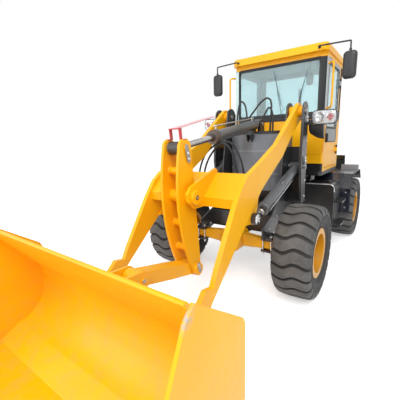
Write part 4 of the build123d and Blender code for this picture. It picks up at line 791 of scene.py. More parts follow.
def tread_recipe():
    """Bars set round the axle."""
    r = Recipe("tread")
    count = r.size("Bars", "NodeSocketInt", TYRE_BARS)
    axle = r.size("Axle", "NodeSocketVector")
    finish = r.size("Finish", "NodeSocketMaterial")
    line = r.node("GeometryNodeMeshLine", Count=count, Offset=(0.0, 0.0, 0.0)).outputs[0]
    index = r.node("GeometryNodeInputIndex").outputs[0]
    turn = r.vector(Y=r.math("DIVIDE", r.math("MULTIPLY", index, -2 * math.pi), count))
    bar = r.given.outputs["Geometry"]
    placed = r.node("GeometryNodeInstanceOnPoints", Points=line, Instance=bar).outputs[0]
    turned = r.node("GeometryNodeRotateInstances", Instances=placed, Rotation=turn).outputs[0]
    moving = {"Instances": turned, "Translation": axle, "Local_Space": False}
    r.end(r.node("GeometryNodeTranslateInstances", **moving).outputs[0], finish)
    return r


TREAD = tread_recipe()


def make_tyre(end, side, hand):
    """Carcass with moulded rings on its walls, and the tread's bars."""
    axle = Vector((AXLE[end].x, hand * HALF_TRACK, AXLE_Z))
    bars = TREAD.run("bars", tread_bar(hand), Bars=TYRE_BARS, Axle=tuple(axle), Finish=FINISHES["tyre"])
    ring = Shape()
    scuff_and_highlight = ring.bm.verts.layers.float.new("scuff_and_highlight")
    ring.turned([(-u, r) for u, r in CARCASS] + list(reversed(CARCASS)), axle, Y_AXIS, TYRE_STEPS)
    for out in HANDS:
        for radius, u in WALL_RINGS:
            foot = out * (u - 0.004)
            profile = ((foot, radius - 0.004), (out * (u + 0.0024), radius), (foot, radius + 0.004))
            ring.turned(profile, axle, Y_AXIS, TYRE_STEPS)
    bmesh.ops.recalc_face_normals(ring.bm, faces=ring.bm.faces)
    # walls take a little of the pale tone of scuff and painted highlight
    for vert in ring.bm.verts:
        vert[scuff_and_highlight] = WALL_SCUFF_AND_HIGHLIGHT
    ring.bm.from_mesh(bars)
    name = f"lugged_tyre_{end}_{side}"
    mesh = bpy.data.meshes.new(name)
    ring.bm.to_mesh(mesh)
    ring.bm.free()
    shade_smooth(mesh, TYRE_SMOOTH_BELOW)
    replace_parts(finished(name, mesh, f"wheel_{end}_{side}", "tyre"), f"tyre_{end}_{side}")


DISC_OUT, FLANGE_OUT = 0.040, 0.171  # from the tyre's middle out
NUT_CIRCLE, HUB_CIRCLE = 0.150, 0.088
# turned from the rim's outer face: rolled edge and lock ring; from the disc's face: its weld
RIM_EDGE = ((-0.010, 0.270), (-0.010, 0.283), (-0.003, 0.2865), (0.005, 0.2855), (0.0085, 0.279), (0.006, 0.270))
LOCK_RING = ((-0.020, 0.222), (-0.020, 0.232), (-0.006, 0.228), (-0.002, 0.222))
DISC_WELD = ((0.012, 0.222), (0.022, 0.216), (0.034, 0.2245), (0.012, 0.2245))


def make_wheel_trim(end, side, hand):
    """Rolled rim edge, wheel nuts, hub bolts and the valve."""
    body = f"wheel_{end}_{side}"
    out = Vector((0, hand, 0))
    centre = Vector((AXLE[end].x, hand * (HALF_TRACK + DISC_OUT), AXLE_Z))
    flange = Vector((AXLE[end].x, hand * (HALF_TRACK + FLANGE_OUT), AXLE_Z))
    trim = Shape()
    trim.turned(RIM_EDGE, flange, out, 72)
    trim.turned(LOCK_RING, flange, out, 64)
    trim.turned(DISC_WELD, centre, out, 64)
    # rolled rim edge in the rims' darker yellow: painted shade
    trim.done(f"rim_edge_{end}_{side}", body, "machine_yellow", RIM_YELLOW_PAINTED_SHADE)
    nuts = circle_places(centre, out, NUT_CIRCLE, 10)
    bolts(f"wheel_nuts_{end}_{side}", nuts, body, (0.014, 0.018, 0.004))
    hub = circle_places(centre + Vector((0, hand * 0.0395, 0)), out, HUB_CIRCLE, 8, 0.3)
    bolts(f"hub_bolts_{end}_{side}", hub, body, (0.008, 0.012, 0.002))
    valve = Shape()
    foot = centre + Vector((0.165, 0, 0.128))
    valve.bar(foot, foot + Vector((0.012, hand * 0.045, 0.010)), 0.006, 12)
    cap = (foot + Vector((0.012, hand * 0.043, 0.010)), foot + Vector((0.015, hand * 0.058, 0.0125)))
    valve.bar(*cap, 0.0085, 12)
    valve.done(f"valve_{end}_{side}", body, "black_plastic")


for end in ENDS:
    for side, hand in SIDES:
        make_tyre(end, side, hand)
        make_wheel_trim(end, side, hand)


# ---------------------------------------------------------------- linkage
def unit(toward):
    """Direction (x, z) with a length of 1."""
    size = math.hypot(*toward)
    return toward[0] / size, toward[1] / size


def side_plate(shape, centre, toward, length, width, low, high, overhang=0.0):
    """Round-ended plate in the side plane: centre and direction are (x, z)."""
    (cx, cz), (tx, tz) = centre, unit(toward)
    outline = []
    for start, along in ((-90, length), (90, -overhang)):
        for k in range(7):
            turn = math.radians(start + 30 * k)
            a, b = along + width / 2 * math.cos(turn), width / 2 * math.sin(turn)
            outline.append((cx + a * tx - b * tz, cz + a * tz + b * tx))
    shape.prism(outline, low, high)


def bolt_row(name, place, toward, runs, y, hand, body, size):
    """Bright bolts on a side face, at distances from a place along a direction, both (x, z)."""
    (x, z), (ux, uz) = place, unit(toward)
    places = [((x + ux * run, hand * y, z + uz * run), (0, hand, 0)) for run in runs]
    bolts(name, places, body, size, BRIGHT_ZINC)


def keeper(name, place, toward, face, hand, body, length, width):
    """Keeper plate over a pin's end, with its two bolts."""
    centre = (FRONT_X + place[0], place[1])
    top = face + 0.010
    plate = Shape()
    side_plate(plate, centre, toward, length, width, *apart(hand, face, top), 0.012)
    plate.done(name, body, "bare_steel", GREY_PLATE, soft=0.002)
    runs = (length * 0.42, length * 0.90)
    bolt_row(name + "_bolts", centre, toward, runs, top, hand, body, (0.0085, 0.008, 0.0025))


# profiles are (distance, radius)
SPACER_BEAD = ((0.0795, 0.037), (0.071, 0.039), (0.0735, 0.044), (0.0795, 0.047))
SPACERS = ((1.535, 1.535), (1.500, 1.010), (1.465, 0.745))
PIN_END = ((0.0, 0.024), (0.003, 0.022), (0.003, 0.011), (0.006, 0.009))
POINTER_LEG = ((1.512, 1.833), (1.548, 1.833), (1.560, 1.925), (1.520, 1.932))
POINTER_ARM = ((1.562, 1.932), (1.548, 1.940), (0.905, 2.074), (0.903, 2.065), (1.512, 1.931))


def make_rocker():
    """Keepers, level pointer, welds and pin ends of the rocker."""
    for side, hand in SIDES:
        keeper(f"rocker_keeper_{side}", ROCKER_TOP, (-0.035, -0.15), 0.1192, hand, "rocker_body", 0.115, 0.046)
        keeper(f"link_keeper_{side}", ROCKER_FOOT, (0.04, 0.12), 0.1357, hand, "link_pin_body", 0.066, 0.040)
    # level pointer: two legs on the plates' tops, and the arm that lies back over the rod
    pointer = Shape()
    for y in (-0.058, 0.058):
        pointer.prism(POINTER_LEG, y - 0.004, y + 0.004)
        pointer.prism(rect(1.506, 1.828, 1.556, 1.8355), y - 0.052 * (y < 0), y + 0.052 * (y > 0))
    pointer.block((1.515, -0.062, 1.922), (1.566, 0.062, 1.931))
    pointer.done("level_pointer", "tilt_rod_body", "red_lens", RED_PAINT, soft=0.0018)
    arm = Shape()
    arm.prism(POINTER_ARM, -0.034, 0.034)
    arm.done("level_pointer_arm", "tilt_rod_body", "red_lens", PINK_PAINT, soft=0.0018)
    # weld beads where the spacer tubes meet the plates
    beads = Shape()
    for x, z in SPACERS:
        for hand in HANDS:
            beads.turned(SPACER_BEAD, (x, 0, z), (0, hand, 0), 28)
    beads.done("rocker_weld_beads", "rocker_body", "machine_yellow")
    # the pins' end faces, each with its cap bolt
    ends = Shape()
    for hand in HANDS:
        ends.plug(PIN_END, pin(ROCKER_PIVOT, hand * 0.2172), (0, hand, 0), 28)
    ends.done("rocker_pin_ends", "rocker_pin_body", "bare_steel", BROWN_STEEL)
    for side, hand in SIDES:
        places = [(pin(ROCKER_PIVOT, hand * 0.2228), (0, hand, 0))]
        bolts(f"rocker_pin_cap_bolt_{side}", places, "rocker_pin_body", (0.0075, 0.006, 0.001))


def cut_away(mesh, outline, depths):
    """Boolean cut: a side outline, taken off between two depths on either side."""
    for hand in HANDS:
        cutter = Shape()
        cutter.prism([(FRONT_X + x, z) for x, z in outline], *apart(hand, *depths))
        tool = link_object(bpy.data.objects.new("cutter", cutter.mesh("cutter")))
        block = link_object(bpy.data.objects.new("block", mesh))
        step = block.modifiers.new("cut", "BOOLEAN")
        step.operation = "DIFFERENCE"
        step.solver = "EXACT"
        step.object = tool
        bpy.context.view_layer.update()
        mesh = evaluated(block)
        for thing in (tool, block):
            bpy.data.objects.remove(thing)
    return mesh


# what is cut off the lift pins' ears: (x from the front axle, z)
EAR_ON_ARM = ((0.380, 1.360), (0.700, 1.240), (0.920, 0.980), (0.900, 0.880), (0.560, 0.880), (0.480, 0.980))
EAR_BELOW_ARM = (
    (0.360, 1.3535), (0.4700, 1.2955), (0.8560, 0.9855), (0.930, 0.9220), (0.900, 0.880), (0.360, 0.880),
)
PIN_BOSS = ((0.0, 0.052), (0.004, 0.055), (0.012, 0.050), (0.017, 0.044), (0.020, 0.030))
PIN_CAP = ((0.0, 0.0275), (0.0150, 0.0275), (0.0185, 0.0245))


def make_trimmed_boom():
    """The boom, with the lift pins' outer ears cut back to a boss round each pin."""
    node = NODES["boom"]
    bm = bmesh.new()
    bm.from_mesh(node.data)
    bmesh.ops.transform(bm, matrix=node.matrix_world, verts=bm.verts)
    bmesh.ops.remove_doubles(bm, verts=bm.verts, dist=1e-5)
    mesh = bpy.data.meshes.new("boom_copy")
    bm.to_mesh(mesh)
    bm.free()
    mesh = cut_away(mesh, EAR_ON_ARM, (ARM_Y + 0.0252, ARM_Y + 0.050))
    mesh = cut_away(mesh, EAR_BELOW_ARM, (ARM_Y + 0.0235, ARM_Y + 0.0256))
    if "custom_normal" in mesh.attributes:
        mesh.attributes.remove(mesh.attributes["custom_normal"])
    shade_smooth(mesh, 30)
    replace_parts(finished("boom_trimmed", mesh, "boom_body", "machine_yellow"), "boom")
    boss = Shape()
    for hand in HANDS:
        boss.plug(PIN_BOSS, pin(LIFT_PIN, hand * (ARM_Y + 0.0240)), (0, hand, 0), 40)
        boss.plug(PIN_CAP, pin(LIFT_PIN, hand * (ARM_Y + 0.0385)), (0, hand, 0), 32)
    boss.done("lift_pin_bosses", "boom_body", "bare_steel", BRIGHT_ZINC)


BEAM_WELD = ((1.371, 1.180), (1.371, 1.270), (1.125, 1.486), (1.045, 1.470), (1.005, 1.320), (1.105, 1.180))
HINGE_WELD = ((0.0, 0.060), (0.0, 0.084), (0.003, 0.082), (0.0045, 0.076), (0.0045, 0.062), (0.0035, 0.060))


def make_boom():
    """Trimmed arms, welds, lift pin bolts and grease nipples."""
    make_trimmed_boom()
    beads = Shape()
    inner = ARM_Y - ARM_HALF
    for hand in HANDS:
        # welds round the cross beam where it meets the arms
        for (x0, z0), (x1, z1) in zip(BEAM_WELD, BEAM_WELD[1:] + BEAM_WELD[:1]):
            beads.bar((x0, hand * inner, z0), (x1, hand * inner, z1), 0.0055, 8)
        # rings round the bucket hinge's bosses
        for out in HANDS:
            centre = pin(BUCKET_PIN, hand * (ARM_Y + out * 0.0255 - out * 0.001))
            beads.turned(HINGE_WELD, centre, (0, hand * out, 0), 36)
    beads.done("boom_weld_beads", "boom_body", "machine_yellow")
    for side, hand in SIDES:
        places = [(pin(LIFT_PIN, hand * (ARM_Y + out * 0.0460)), (0, hand * out, 0)) for out in HANDS]
        bolts(f"lift_pin_bolts_{side}", places, "boom_body", (0.012, 0.008, 0.006))
    nipples = Shape()
    for hand in HANDS:
        for place, rise in ((BOOM_PIVOT, 0.104), (BUCKET_PIN, 0.092)):
            top = pin(place, hand * ARM_Y) + Vector((0, 0, rise))
            nipples.bar(top, top + Z_AXIS * 0.008, 0.006, 6)
            nipples.bar(top + Z_AXIS * 0.007, top + Z_AXIS * 0.017, 0.0035, 10)
    nipples.done("grease_nipples", "boom_body", "bare_steel", BRIGHT_ZINC)


def cylinder_frame(base, end, y):
    """Base point, length, unit vector along a cylinder, and the one square to it that points up."""
    start = pin(base, y)
    reach = pin(end, y) - start
    along = reach.normalized()
    return start, reach.length, along, Vector((-along.z, 0, along.x))


def shifted(profile, by):
    return [(run + by, radius) for run, radius in profile]


def band(shape, start, along, run, half, radii, steps):
    """Band round a barrel: half its width, and the radii of bore, shoulder and crown."""
    bore, shoulder, crown = radii
    edge = half - 0.004
    rise = ((run - half, bore), (run - half, shoulder), (run - edge, crown))
    fall = ((run + edge, crown), (run + half, shoulder), (run + half, bore))
    shape.turned(rise + fall, start, along, steps)


# where the barrels end, as shares of the length between a cylinder's pins at rest
TILT_BARREL, LIFT_BARREL = 0.66, 0.86
EYE_TO_COLLAR = 0.148
# screwed heads with their wrench flats, and the wiper lips, from the barrel's end
TILT_GLAND = (
    (-0.062, 0.064), (-0.062, 0.0775), (-0.052, 0.0785), (-0.040, 0.0785), (-0.036, 0.0765), (-0.020, 0.0765),
    (-0.016, 0.0785), (-0.006, 0.0785), (0.002, 0.074), (0.002, 0.036), (-0.010, 0.034), (-0.062, 0.034),
)
LIFT_GLAND = (
    (-0.064, 0.058), (-0.064, 0.0715), (-0.040, 0.0725), (-0.034, 0.070), (-0.024, 0.070),
    (-0.020, 0.0725), (-0.004, 0.0725), (0.002, 0.068), (0.002, 0.033), (-0.064, 0.033),
)
TILT_LIP = ((0.001, 0.0335), (0.001, 0.046), (0.006, 0.044), (0.010, 0.0335))
LIFT_LIP = ((0.001, 0.0305), (0.001, 0.042), (0.006, 0.040), (0.009, 0.0305))
EYE_COLLAR = ((-0.016, 0.0305), (-0.008, 0.037), (0.004, 0.040), (0.012, 0.034), (0.012, 0.024), (-0.016, 0.024))
DECK_BRACKET = (
    (-0.110, 1.880), (0.010, 1.880), (0.010, 1.865), (-0.020, 1.790), (-0.060, 1.785), (-0.110, 1.850),
)


def make_tilt_cylinder():
    """Gland, bands and ports of the tilt barrel, and the level rod over it."""
    body = "tilt_barrel_body"
    start, length, along, up = cylinder_frame(TILT_BASE, ROCKER_TOP, 0)
    end = TILT_BARREL * length
    gland = Shape()
    gland.turned(shifted(TILT_GLAND, end), start, along, 48)
    gland.done("tilt_gland", body, "frame_grey", BROWN_STEEL)
    lip = Shape()
    lip.turned(shifted(TILT_LIP, end), start, along, 36)
    lip.done("tilt_wiper", body, "black_plastic")
    bands = Shape()
    for run in (0.128, 0.62, end - 0.100):
        band(bands, start, along, run, 0.014, (0.0635, 0.068, 0.070), 44)
    # ports
    for run in (0.150, end - 0.100):
        spot = start + along * run + up * 0.060
        bands.bar(spot, spot + up * 0.030, 0.016, 20)
    bands.plug(((0.098, 0.0660), (end - 0.060, 0.0660)), start, along, 72)
    bands.done("tilt_barrel_fittings", body, "frame_grey", GLOSS_BARREL)
    # two brackets under the barrel, on the front frame's deck
    fork = Shape()
    for y in (-0.030, 0.026):
        fork.prism(DECK_BRACKET, y - 0.007, y + 0.007)
    fork.done("deck_brackets", FRONT_BODY, "black_paint", soft=0.002)
    posts = Shape()
    aside = Y_AXIS * 0.014
    heads = []
    for run, height in ((end - 0.075, 0.118), (0.205, 0.098)):
        spot = start + along * run
        head = spot + up * height + aside
        posts.bar(spot + up * 0.058 + aside, head, 0.0065, 12)
        posts.bar(head - Y_AXIS * 0.016, head + Y_AXIS * 0.016, 0.011, 12)
        heads.append(head)
    near_head, far_head = heads
    direction = (near_head - far_head).normalized()
    posts.bar(far_head - direction * 0.05, near_head + direction * 0.035, 0.0075, 14)
    posts.done("level_rod", body, "bare_steel", BRIGHT_ZINC)


def make_lift_cylinder(side, hand):
    """Bands, steel pipe with its clamps, wiper and rod collar."""
    body = f"lift_barrel_{side}_body"
    y = hand * ARM_Y
    start, length, along, up = cylinder_frame(LIFT_BASE, LIFT_PIN, y)
    end = LIFT_BARREL * length
    outward = Vector((0, hand, 0))
    bands = Shape()
    for run in (0.118, 0.60, end - 0.090):
        band(bands, start, along, run, 0.012, (0.0575, 0.0615, 0.064), 40)
    bands.turned(shifted(LIFT_GLAND, end), start, along, 40)
    bands.plug(((0.100, 0.0597), (end - 0.062, 0.0597)), start, along, 72)
    bands.done(f"lift_barrel_bands_{side}", body, "frame_grey", GLOSS_BARREL)
    # steel pipe from the base port to the head, below the barrel on its outer side
    drop = outward * 0.030 - up * 0.074
    ports = [start + along * run - up * 0.056 + outward * 0.018 for run in (0.135, end - 0.090)]
    pipe = Shape()
    runs = (0.150, 0.260, 0.60, end - 0.200, end - 0.110)
    pipe.tube([ports[0], *(start + along * run + drop for run in runs), ports[1]], 0.0075, 12)
    pipe.done(f"lift_pipe_{side}", body, "bare_steel", BRIGHT_ZINC)
    clamp = Shape()
    for run in (0.30, 0.62):
        spot = start + along * run + drop * 0.72
        clamp.bar(spot - along * 0.014, spot + along * 0.014, 0.020, 16)
    for run in (0.135, end - 0.090):
        spot = start + along * run - up * 0.050 + outward * 0.015
        clamp.bar(spot, spot - up * 0.020 + outward * 0.010, 0.014, 16)
    clamp.done(f"lift_pipe_clamps_{side}", body, "black_plastic")
    lip = Shape()
    lip.turned(shifted(LIFT_LIP, end), start, along, 32)
    lip.done(f"lift_wiper_{side}", body, "black_plastic")
    collar = Shape()
    collar.turned(EYE_COLLAR, pin(LIFT_PIN, y) - along * EYE_TO_COLLAR, along, 28)
    collar.done(f"lift_rod_collar_{side}", f"lift_rod_{side}_body", "bare_steel")


# inside of the bucket's side plates, from the top edge to the lip: (x, z)
BUCKET_SEAM = (
    (2.840, 1.165), (2.495, 0.730), (2.402, 0.560), (2.392, 0.430), (2.420, 0.300),
    (2.520, 0.190), (2.660, 0.141), (2.845, 0.054), (3.120, 0.053),
)
BUCKET_INSIDE = 1.120
HEEL_STRIP = ((2.86, 0.031), (3.12, 0.031), (3.12, 0.0225), (2.87, 0.0225))


def make_bucket():
    """Welds, edge bolts, heel strips and hinge keepers of the bucket."""
    bead = Shape()
    for hand in HANDS:
        bead.tube([(x, hand * BUCKET_INSIDE - hand * 0.004, z + 0.002) for x, z in BUCKET_SEAM], 0.006, 8)
    # lip bar along the back's top edge
    bead.bar((2.838, -1.118, 1.176), (2.838, 1.118, 1.176), 0.0105, 16)
    bead.done("bucket_weld_beads", "bucket_body", "machine_yellow")
    places = [((3.215, -1.02 + 2.04 * k / 8, 0.0322), Z_AXIS) for k in range(9)]
    bolts("edge_bolts", places, "bucket_body", (0.016, 0.009, 0.002))
    # wear strips under the floor's sides
    strips = Shape()
    for hand in HANDS:
        strips.prism(HEEL_STRIP, *apart(hand, 1.06, 1.138))
    strips.done("heel_strips", "bucket_body", "bare_steel", soft=0.0015)
    x, z = FRONT_X + BUCKET_PIN[0], BUCKET_PIN[1]
    for side, hand in SIDES:
        for tag, out in (("outer", 1), ("inner", -1)):
            name = f"hinge_keeper_{side}_{tag}"
            face = hand * (ARM_Y + out * 0.0662)
            top = face + hand * out * 0.010
            plate = Shape()
            side_plate(plate, (x, z), (0.10, 0.10), 0.075, 0.040, *sorted((face, top)), 0.010)
            plate.done(name, "hinge_pins_body", "bare_steel", soft=0.002)
            places = [((x + 0.052, top, z + 0.052), (0, hand * out, 0))]
            bolts(name + "_bolt", places, "hinge_pins_body", (0.010, 0.008, 0.002))
    for side, hand in SIDES:
        places = [(pin(LINK_PIN, hand * 0.1155), (0, hand, 0))]
        bolts(f"link_pin_bolt_{side}", places, "bucket_body", (0.011, 0.008, 0.004))


dress(rod_finish("tilt_rod_chrome", pin(ROCKER_TOP, 0)), "tilt_rod")
for side, hand in SIDES:
    dress(rod_finish(f"lift_rod_chrome_{side}", pin(LIFT_PIN, hand * ARM_Y)), f"lift_rod_{side}")
make_rocker()
make_boom()
make_tilt_cylinder()
for side, hand in SIDES:
    make_lift_cylinder(side, hand)
make_bucket()


# ---------------------------------------------------------------- front frame
PANEL_X = FRONT_X - 0.700
PANEL_HALF = 0.438
PANEL_BOW = 0.190
PANEL_SUNK = 0.004


def panel_line(y, proud=0.0):
    """Front of the bowed panel at y."""
    radius = (PANEL_HALF**2 + PANEL_BOW**2) / (2 * PANEL_BOW)
    return PANEL_X + PANEL_BOW - radius + math.sqrt(radius * radius - y * y) + proud


def panel_strip(shape, y0, y1, z0, z1, proud, steps=20):
    """Strip that follows the panel's bow."""
    ys = [y0 + (y1 - y0) * k / steps for k in range(steps + 1)]
    outline = [(panel_line(y, proud), y) for y in ys] + [(panel_line(y, -PANEL_SUNK), y) for y in reversed(ys)]
    shape.prism(outline, z0, z1, axis="z")


def make_panel():
    """Rim, seams, pressed ribs and bolts of the bowed panel."""
    trim = Shape()
    panel_strip(trim, -0.436, 0.436, 1.886, 1.913, 0.007)
    for hand in HANDS:
        panel_strip(trim, *apart(hand, 0.412, 0.4365), 1.102, 1.888, 0.006, 3)
    trim.done("panel_rim", FRONT_BODY, "black_paint", soft=0.002)
    seam = Shape()
    panel_strip(seam, -0.410, 0.410, 1.653, 1.659, 0.0022, 28)
    panel_strip(seam, -0.410, 0.410, 1.330, 1.335, 0.0018, 28)
    seam.done("panel_seams", FRONT_BODY, "panel_grey", PALE_GREY)
    ribs = Shape()
    for y in (-0.245, 0.245):
        for z0, z1 in ((1.145, 1.305), (1.365, 1.625), (1.690, 1.865)):
            panel_strip(ribs, y - 0.012, y + 0.012, z0, z1, 0.006, 3)
    ribs.done("panel_ribs", FRONT_BODY, "panel_grey", soft=0.003)
    places = []
    for z in (1.16, 1.40, 1.62, 1.84):
        for y in (-0.395, 0.395):
            places.append(((panel_line(y, 0.0005), y, z), Vector((1, y / 0.6, 0)).normalized()))
    bolts("panel_bolts", places, FRONT_BODY, (0.007, 0.005, 0.002), BRIGHT_ZINC)


# bolts on the tower and the frame, and the tower's edges: (x from the front axle, z)
TOWER_BOLTS = ((-0.800, 2.02), (-0.800, 1.78), (-0.800, 1.24), (-0.800, 1.02), (-0.640, 1.02), (-0.625, 1.24))
FRAME_BOLTS = ((-0.05, 0.70), (-0.30, 0.82), (-0.56, 0.74), (-0.56, 0.66), (-0.30, 0.66), (-0.70, 0.66))
STIFFENER = ((-0.242, 0.962), (-0.228, 0.962), (-0.148, 1.500), (-0.184, 2.060), (-0.198, 2.060), (-0.163, 1.500))
TOWER_PINS = (("boom_pin", BOOM_PIVOT, (-0.02, -0.12)), ("lift_pin", LIFT_BASE, (0.03, 0.12)))
TOWER_FACE, KEEPER_FACE, FRAME_FACE = 0.6592, 0.6825, 0.4582


def make_tower():
    """Pin keepers, bolts and edge flanges of the tower."""
    for side, hand in SIDES:
        for name, place, toward in TOWER_PINS:
            x, z = FRONT_X + place[0], place[1]
            ux, uz = unit(toward)
            plate = Shape()
            side_plate(plate, (x, z), toward, 0.120, 0.050, *apart(hand, 0.6735, KEEPER_FACE), 0.018)
            plate.soften(0.002)
            # packing block that carries the plate
            packed = (x + ux * 0.078, z + uz * 0.078)
            side_plate(plate, packed, toward, 0.040, 0.046, *apart(hand, TOWER_FACE, 0.6740), 0.006)
            plate.done(f"{name}_keeper_{side}", FRONT_BODY, "frame_grey", GREY_PLATE)
            row = (f"{name}_keeper_bolts_{side}", (x, z), toward, (0.076, 0.116))
            bolt_row(*row, KEEPER_FACE, hand, FRONT_BODY, (0.0095, 0.009, 0.003))
        places = [((FRONT_X + x, hand * TOWER_FACE, z), (0, hand, 0)) for x, z in TOWER_BOLTS]
        bolts(f"tower_bolts_{side}", places, FRONT_BODY, (0.010, 0.009, 0.003))
        places = [((FRONT_X + x, hand * FRAME_FACE, z), (0, hand, 0)) for x, z in FRAME_BOLTS]
        bolts(f"frame_bolts_{side}", places, FRONT_BODY)
        # flange round the tower's foot, and a stiffener along its front edge
        rims = Shape()
        rims.prism(rect(-0.440, 0.952, -0.232, 0.966), *apart(hand, 0.459, 0.672))
        rims.prism(STIFFENER, *apart(hand, 0.642, 0.676))
        rims.done(f"tower_flanges_{side}", FRONT_BODY, "frame_grey", soft=0.002)


# studs of the axle clamps: y, and how far ahead of the axle and behind it
STUD_YS, STUD_X = (0.438, 0.542), 0.078
STUD_LOW, STUD_HIGH = 0.418, 0.668
CLAMP_LOW, CLAMP_HIGH = 0.452, 0.650


def make_axle_clamps():
    """U-bolts over the front axle, with saddle and clamp plate."""
    studs = [(y, x) for y in STUD_YS for x in (FRONT_X - STUD_X, FRONT_X + STUD_X)]
    ends = ((CLAMP_LOW, -1), (CLAMP_HIGH, 1))
    for side, hand in SIDES:
        rods = Shape()
        for y, x in studs:
            rods.bar((x, hand * y, STUD_LOW), (x, hand * y, STUD_HIGH), 0.0095, 16)
        rods.done(f"clamp_studs_{side}", FRONT_BODY, "bare_steel", BRIGHT_ZINC)
        plates = Shape()
        y0, y1 = apart(hand, 0.412, 0.568)
        for half, low, high in ((0.105, CLAMP_LOW, 0.4745), (0.102, 0.629, CLAMP_HIGH)):
            plates.prism(rounded((FRONT_X - half, y0), (FRONT_X + half, y1), 0.02), low, high, "z")
        plates.done(f"clamp_plates_{side}", FRONT_BODY, "black_paint", soft=0.003)
        places = [((x, hand * y, z), (0, 0, way)) for y, x in studs for z, way in ends]
        bolts(f"clamp_nuts_{side}", places, FRONT_BODY, (0.017, 0.015, 0.004), BRIGHT_ZINC)


AXLE_COVER = ((0.118, 0.164), (0.118, 0.160), (0.128, 0.152), (0.140, 0.118), (0.148, 0.070), (0.150, 0.0))


def make_axle_covers():
    """Cover, bolts and tube rings of both differentials."""
    for end, body, face in (("front", FRONT_BODY, 1), ("rear", REAR_BODY, -1)):
        x = AXLE[end].x
        cover = Shape()
        cover.turned(AXLE_COVER, (x, 0, AXLE_Z), (face, 0, 0), 48)
        for y in (0.700, -0.700):
            cover.ring((x, y, AXLE_Z), (0, 1, 0), 0.093, 0.012, 0.022)
        cover.done(f"{end}_axle_cover", body, "machine_yellow")
        places = circle_places((x + face * 0.1195, 0, AXLE_Z), (face, 0, 0), 0.1475, 12, 0.2)
        bolts(f"{end}_cover_bolts", places, body, (0.008, 0.007, 0.002))


HOSE_RADIUS = 0.0135
# arches behind the tower's head, from the deck down behind its back wall
HOSE_ARCHES = (
    (
        (-0.400, -0.395, 1.93), (-0.430, -0.405, 2.16), (-0.480, -0.385, 2.375), (-0.510, -0.322, 2.345),
        (-0.500, -0.280, 2.16), (-0.475, -0.262, 1.80), (-0.462, -0.260, 1.45),
    ),
    (
        (-0.380, -0.225, 1.93), (-0.420, -0.235, 2.08), (-0.470, -0.128, 2.252), (-0.495, -0.040, 2.358),
        (-0.500, 0.052, 2.400), (-0.500, 0.110, 2.320), (-0.490, 0.108, 2.05), (-0.465, 0.100, 1.70),
        (-0.455, 0.100, 1.45),
    ),
    (
        (-0.380, -0.030, 1.93), (-0.410, -0.015, 2.06), (-0.445, 0.040, 2.180), (-0.470, 0.090, 2.262),
        (-0.485, 0.135, 2.19), (-0.475, 0.150, 2.03), (-0.460, 0.150, 1.70), (-0.455, 0.150, 1.45),
    ),
)
# pair that loops up in front of the panel
HOSE_LOOPS = (
    (
        (-0.070, -0.450, 0.830), (0.000, -0.500, 0.880), (0.080, -0.600, 0.980), (0.135, -0.690, 1.120),
        (0.150, -0.742, 1.323), (0.150, -0.640, 1.600), (0.150, -0.454, 1.755), (0.150, -0.306, 1.800),
        (0.150, -0.165, 1.752), (0.140, -0.045, 1.540), (0.120, 0.000, 1.300), (0.040, 0.020, 1.130),
        (-0.060, 0.030, 1.100),
    ),
    (
        (-0.010, -0.450, 0.800), (0.050, -0.485, 0.850), (0.125, -0.555, 0.960), (0.185, -0.610, 1.120),
        (0.200, -0.618, 1.334), (0.200, -0.535, 1.560), (0.200, -0.380, 1.735), (0.200, -0.255, 1.765),
        (0.190, -0.150, 1.640), (0.160, -0.085, 1.340), (0.060, -0.060, 1.150), (-0.060, -0.050, 1.100),
    ),
)


def fitting(shape, place, radius=0.0105):
    """Crimped hose end that points up: collar and hexagon nut."""
    place = Vector(place)
    shape.bar(place, place + Z_AXIS * 0.046, radius * 1.28, 16)
    shape.bar(place - Z_AXIS * 0.022, place + Z_AXIS * 0.002, radius * 1.55, 6)


def make_hoses():
    """Hydraulic hoses of the front frame, held at both ends."""
    hoses, ends = Shape(), Shape()
    for run in HOSE_ARCHES:
        hoses.tube(run, HOSE_RADIUS, 12)
        fitting(ends, run[0])
        fitting(ends, run[-1])
    for run in HOSE_LOOPS:
        hoses.tube(run, HOSE_RADIUS, 12)
    hoses.done("front_hoses", FRONT_BODY, "black_plastic", HOSE_RUBBER)
    ends.done("hose_fittings", FRONT_BODY, "black_plastic")


LAMP_Y = 0.860
BULB = ((0.004, 0.020), (0.014, 0.022), (0.022, 0.014), (0.025, 0.0))
TURN_BULB = ((0.010, 0.040), (0.020, 0.036), (0.0255, 0.020), (0.027, 0.0))


def lamp_bowl(radius):
    """Profile of a reflector bowl, from its rim over the back and up the inside."""
    rim = ((0.0275, radius), (0.0265, radius + 0.004), (0.001, radius + 0.002), (0.001, 0.0))
    return rim + ((0.0035, 0.0), (0.006, radius * 0.35), (0.015, radius * 0.75))


def carrier_tray(shape, face, low, hand):
    """Curved tray under a lamp: its side outline, deepest at its outer end."""
    outline = [(face - 0.105, low), (face - 0.012, low)]
    for k in range(9):
        turn = math.radians(90 * k / 8)
        outline.append((face - 0.012 - 0.110 * (1 - math.cos(turn)), low - 0.190 * math.sin(turn)))
    outline.append((face - 0.135, low - 0.190))
    y0, y1 = apart(hand, 0.668, 0.850)
    rings = []
    for k in range(7):
        share = k / 6
        inward = 1 - (share if hand > 0 else 1 - share)
        drop = 0.60 + 0.40 * (1 - inward**2)
        y = y0 + (y1 - y0) * share
        rings.append(shape.verts((x, y, low + (z - low) * drop) for x, z in outline))
    shape.join(rings)


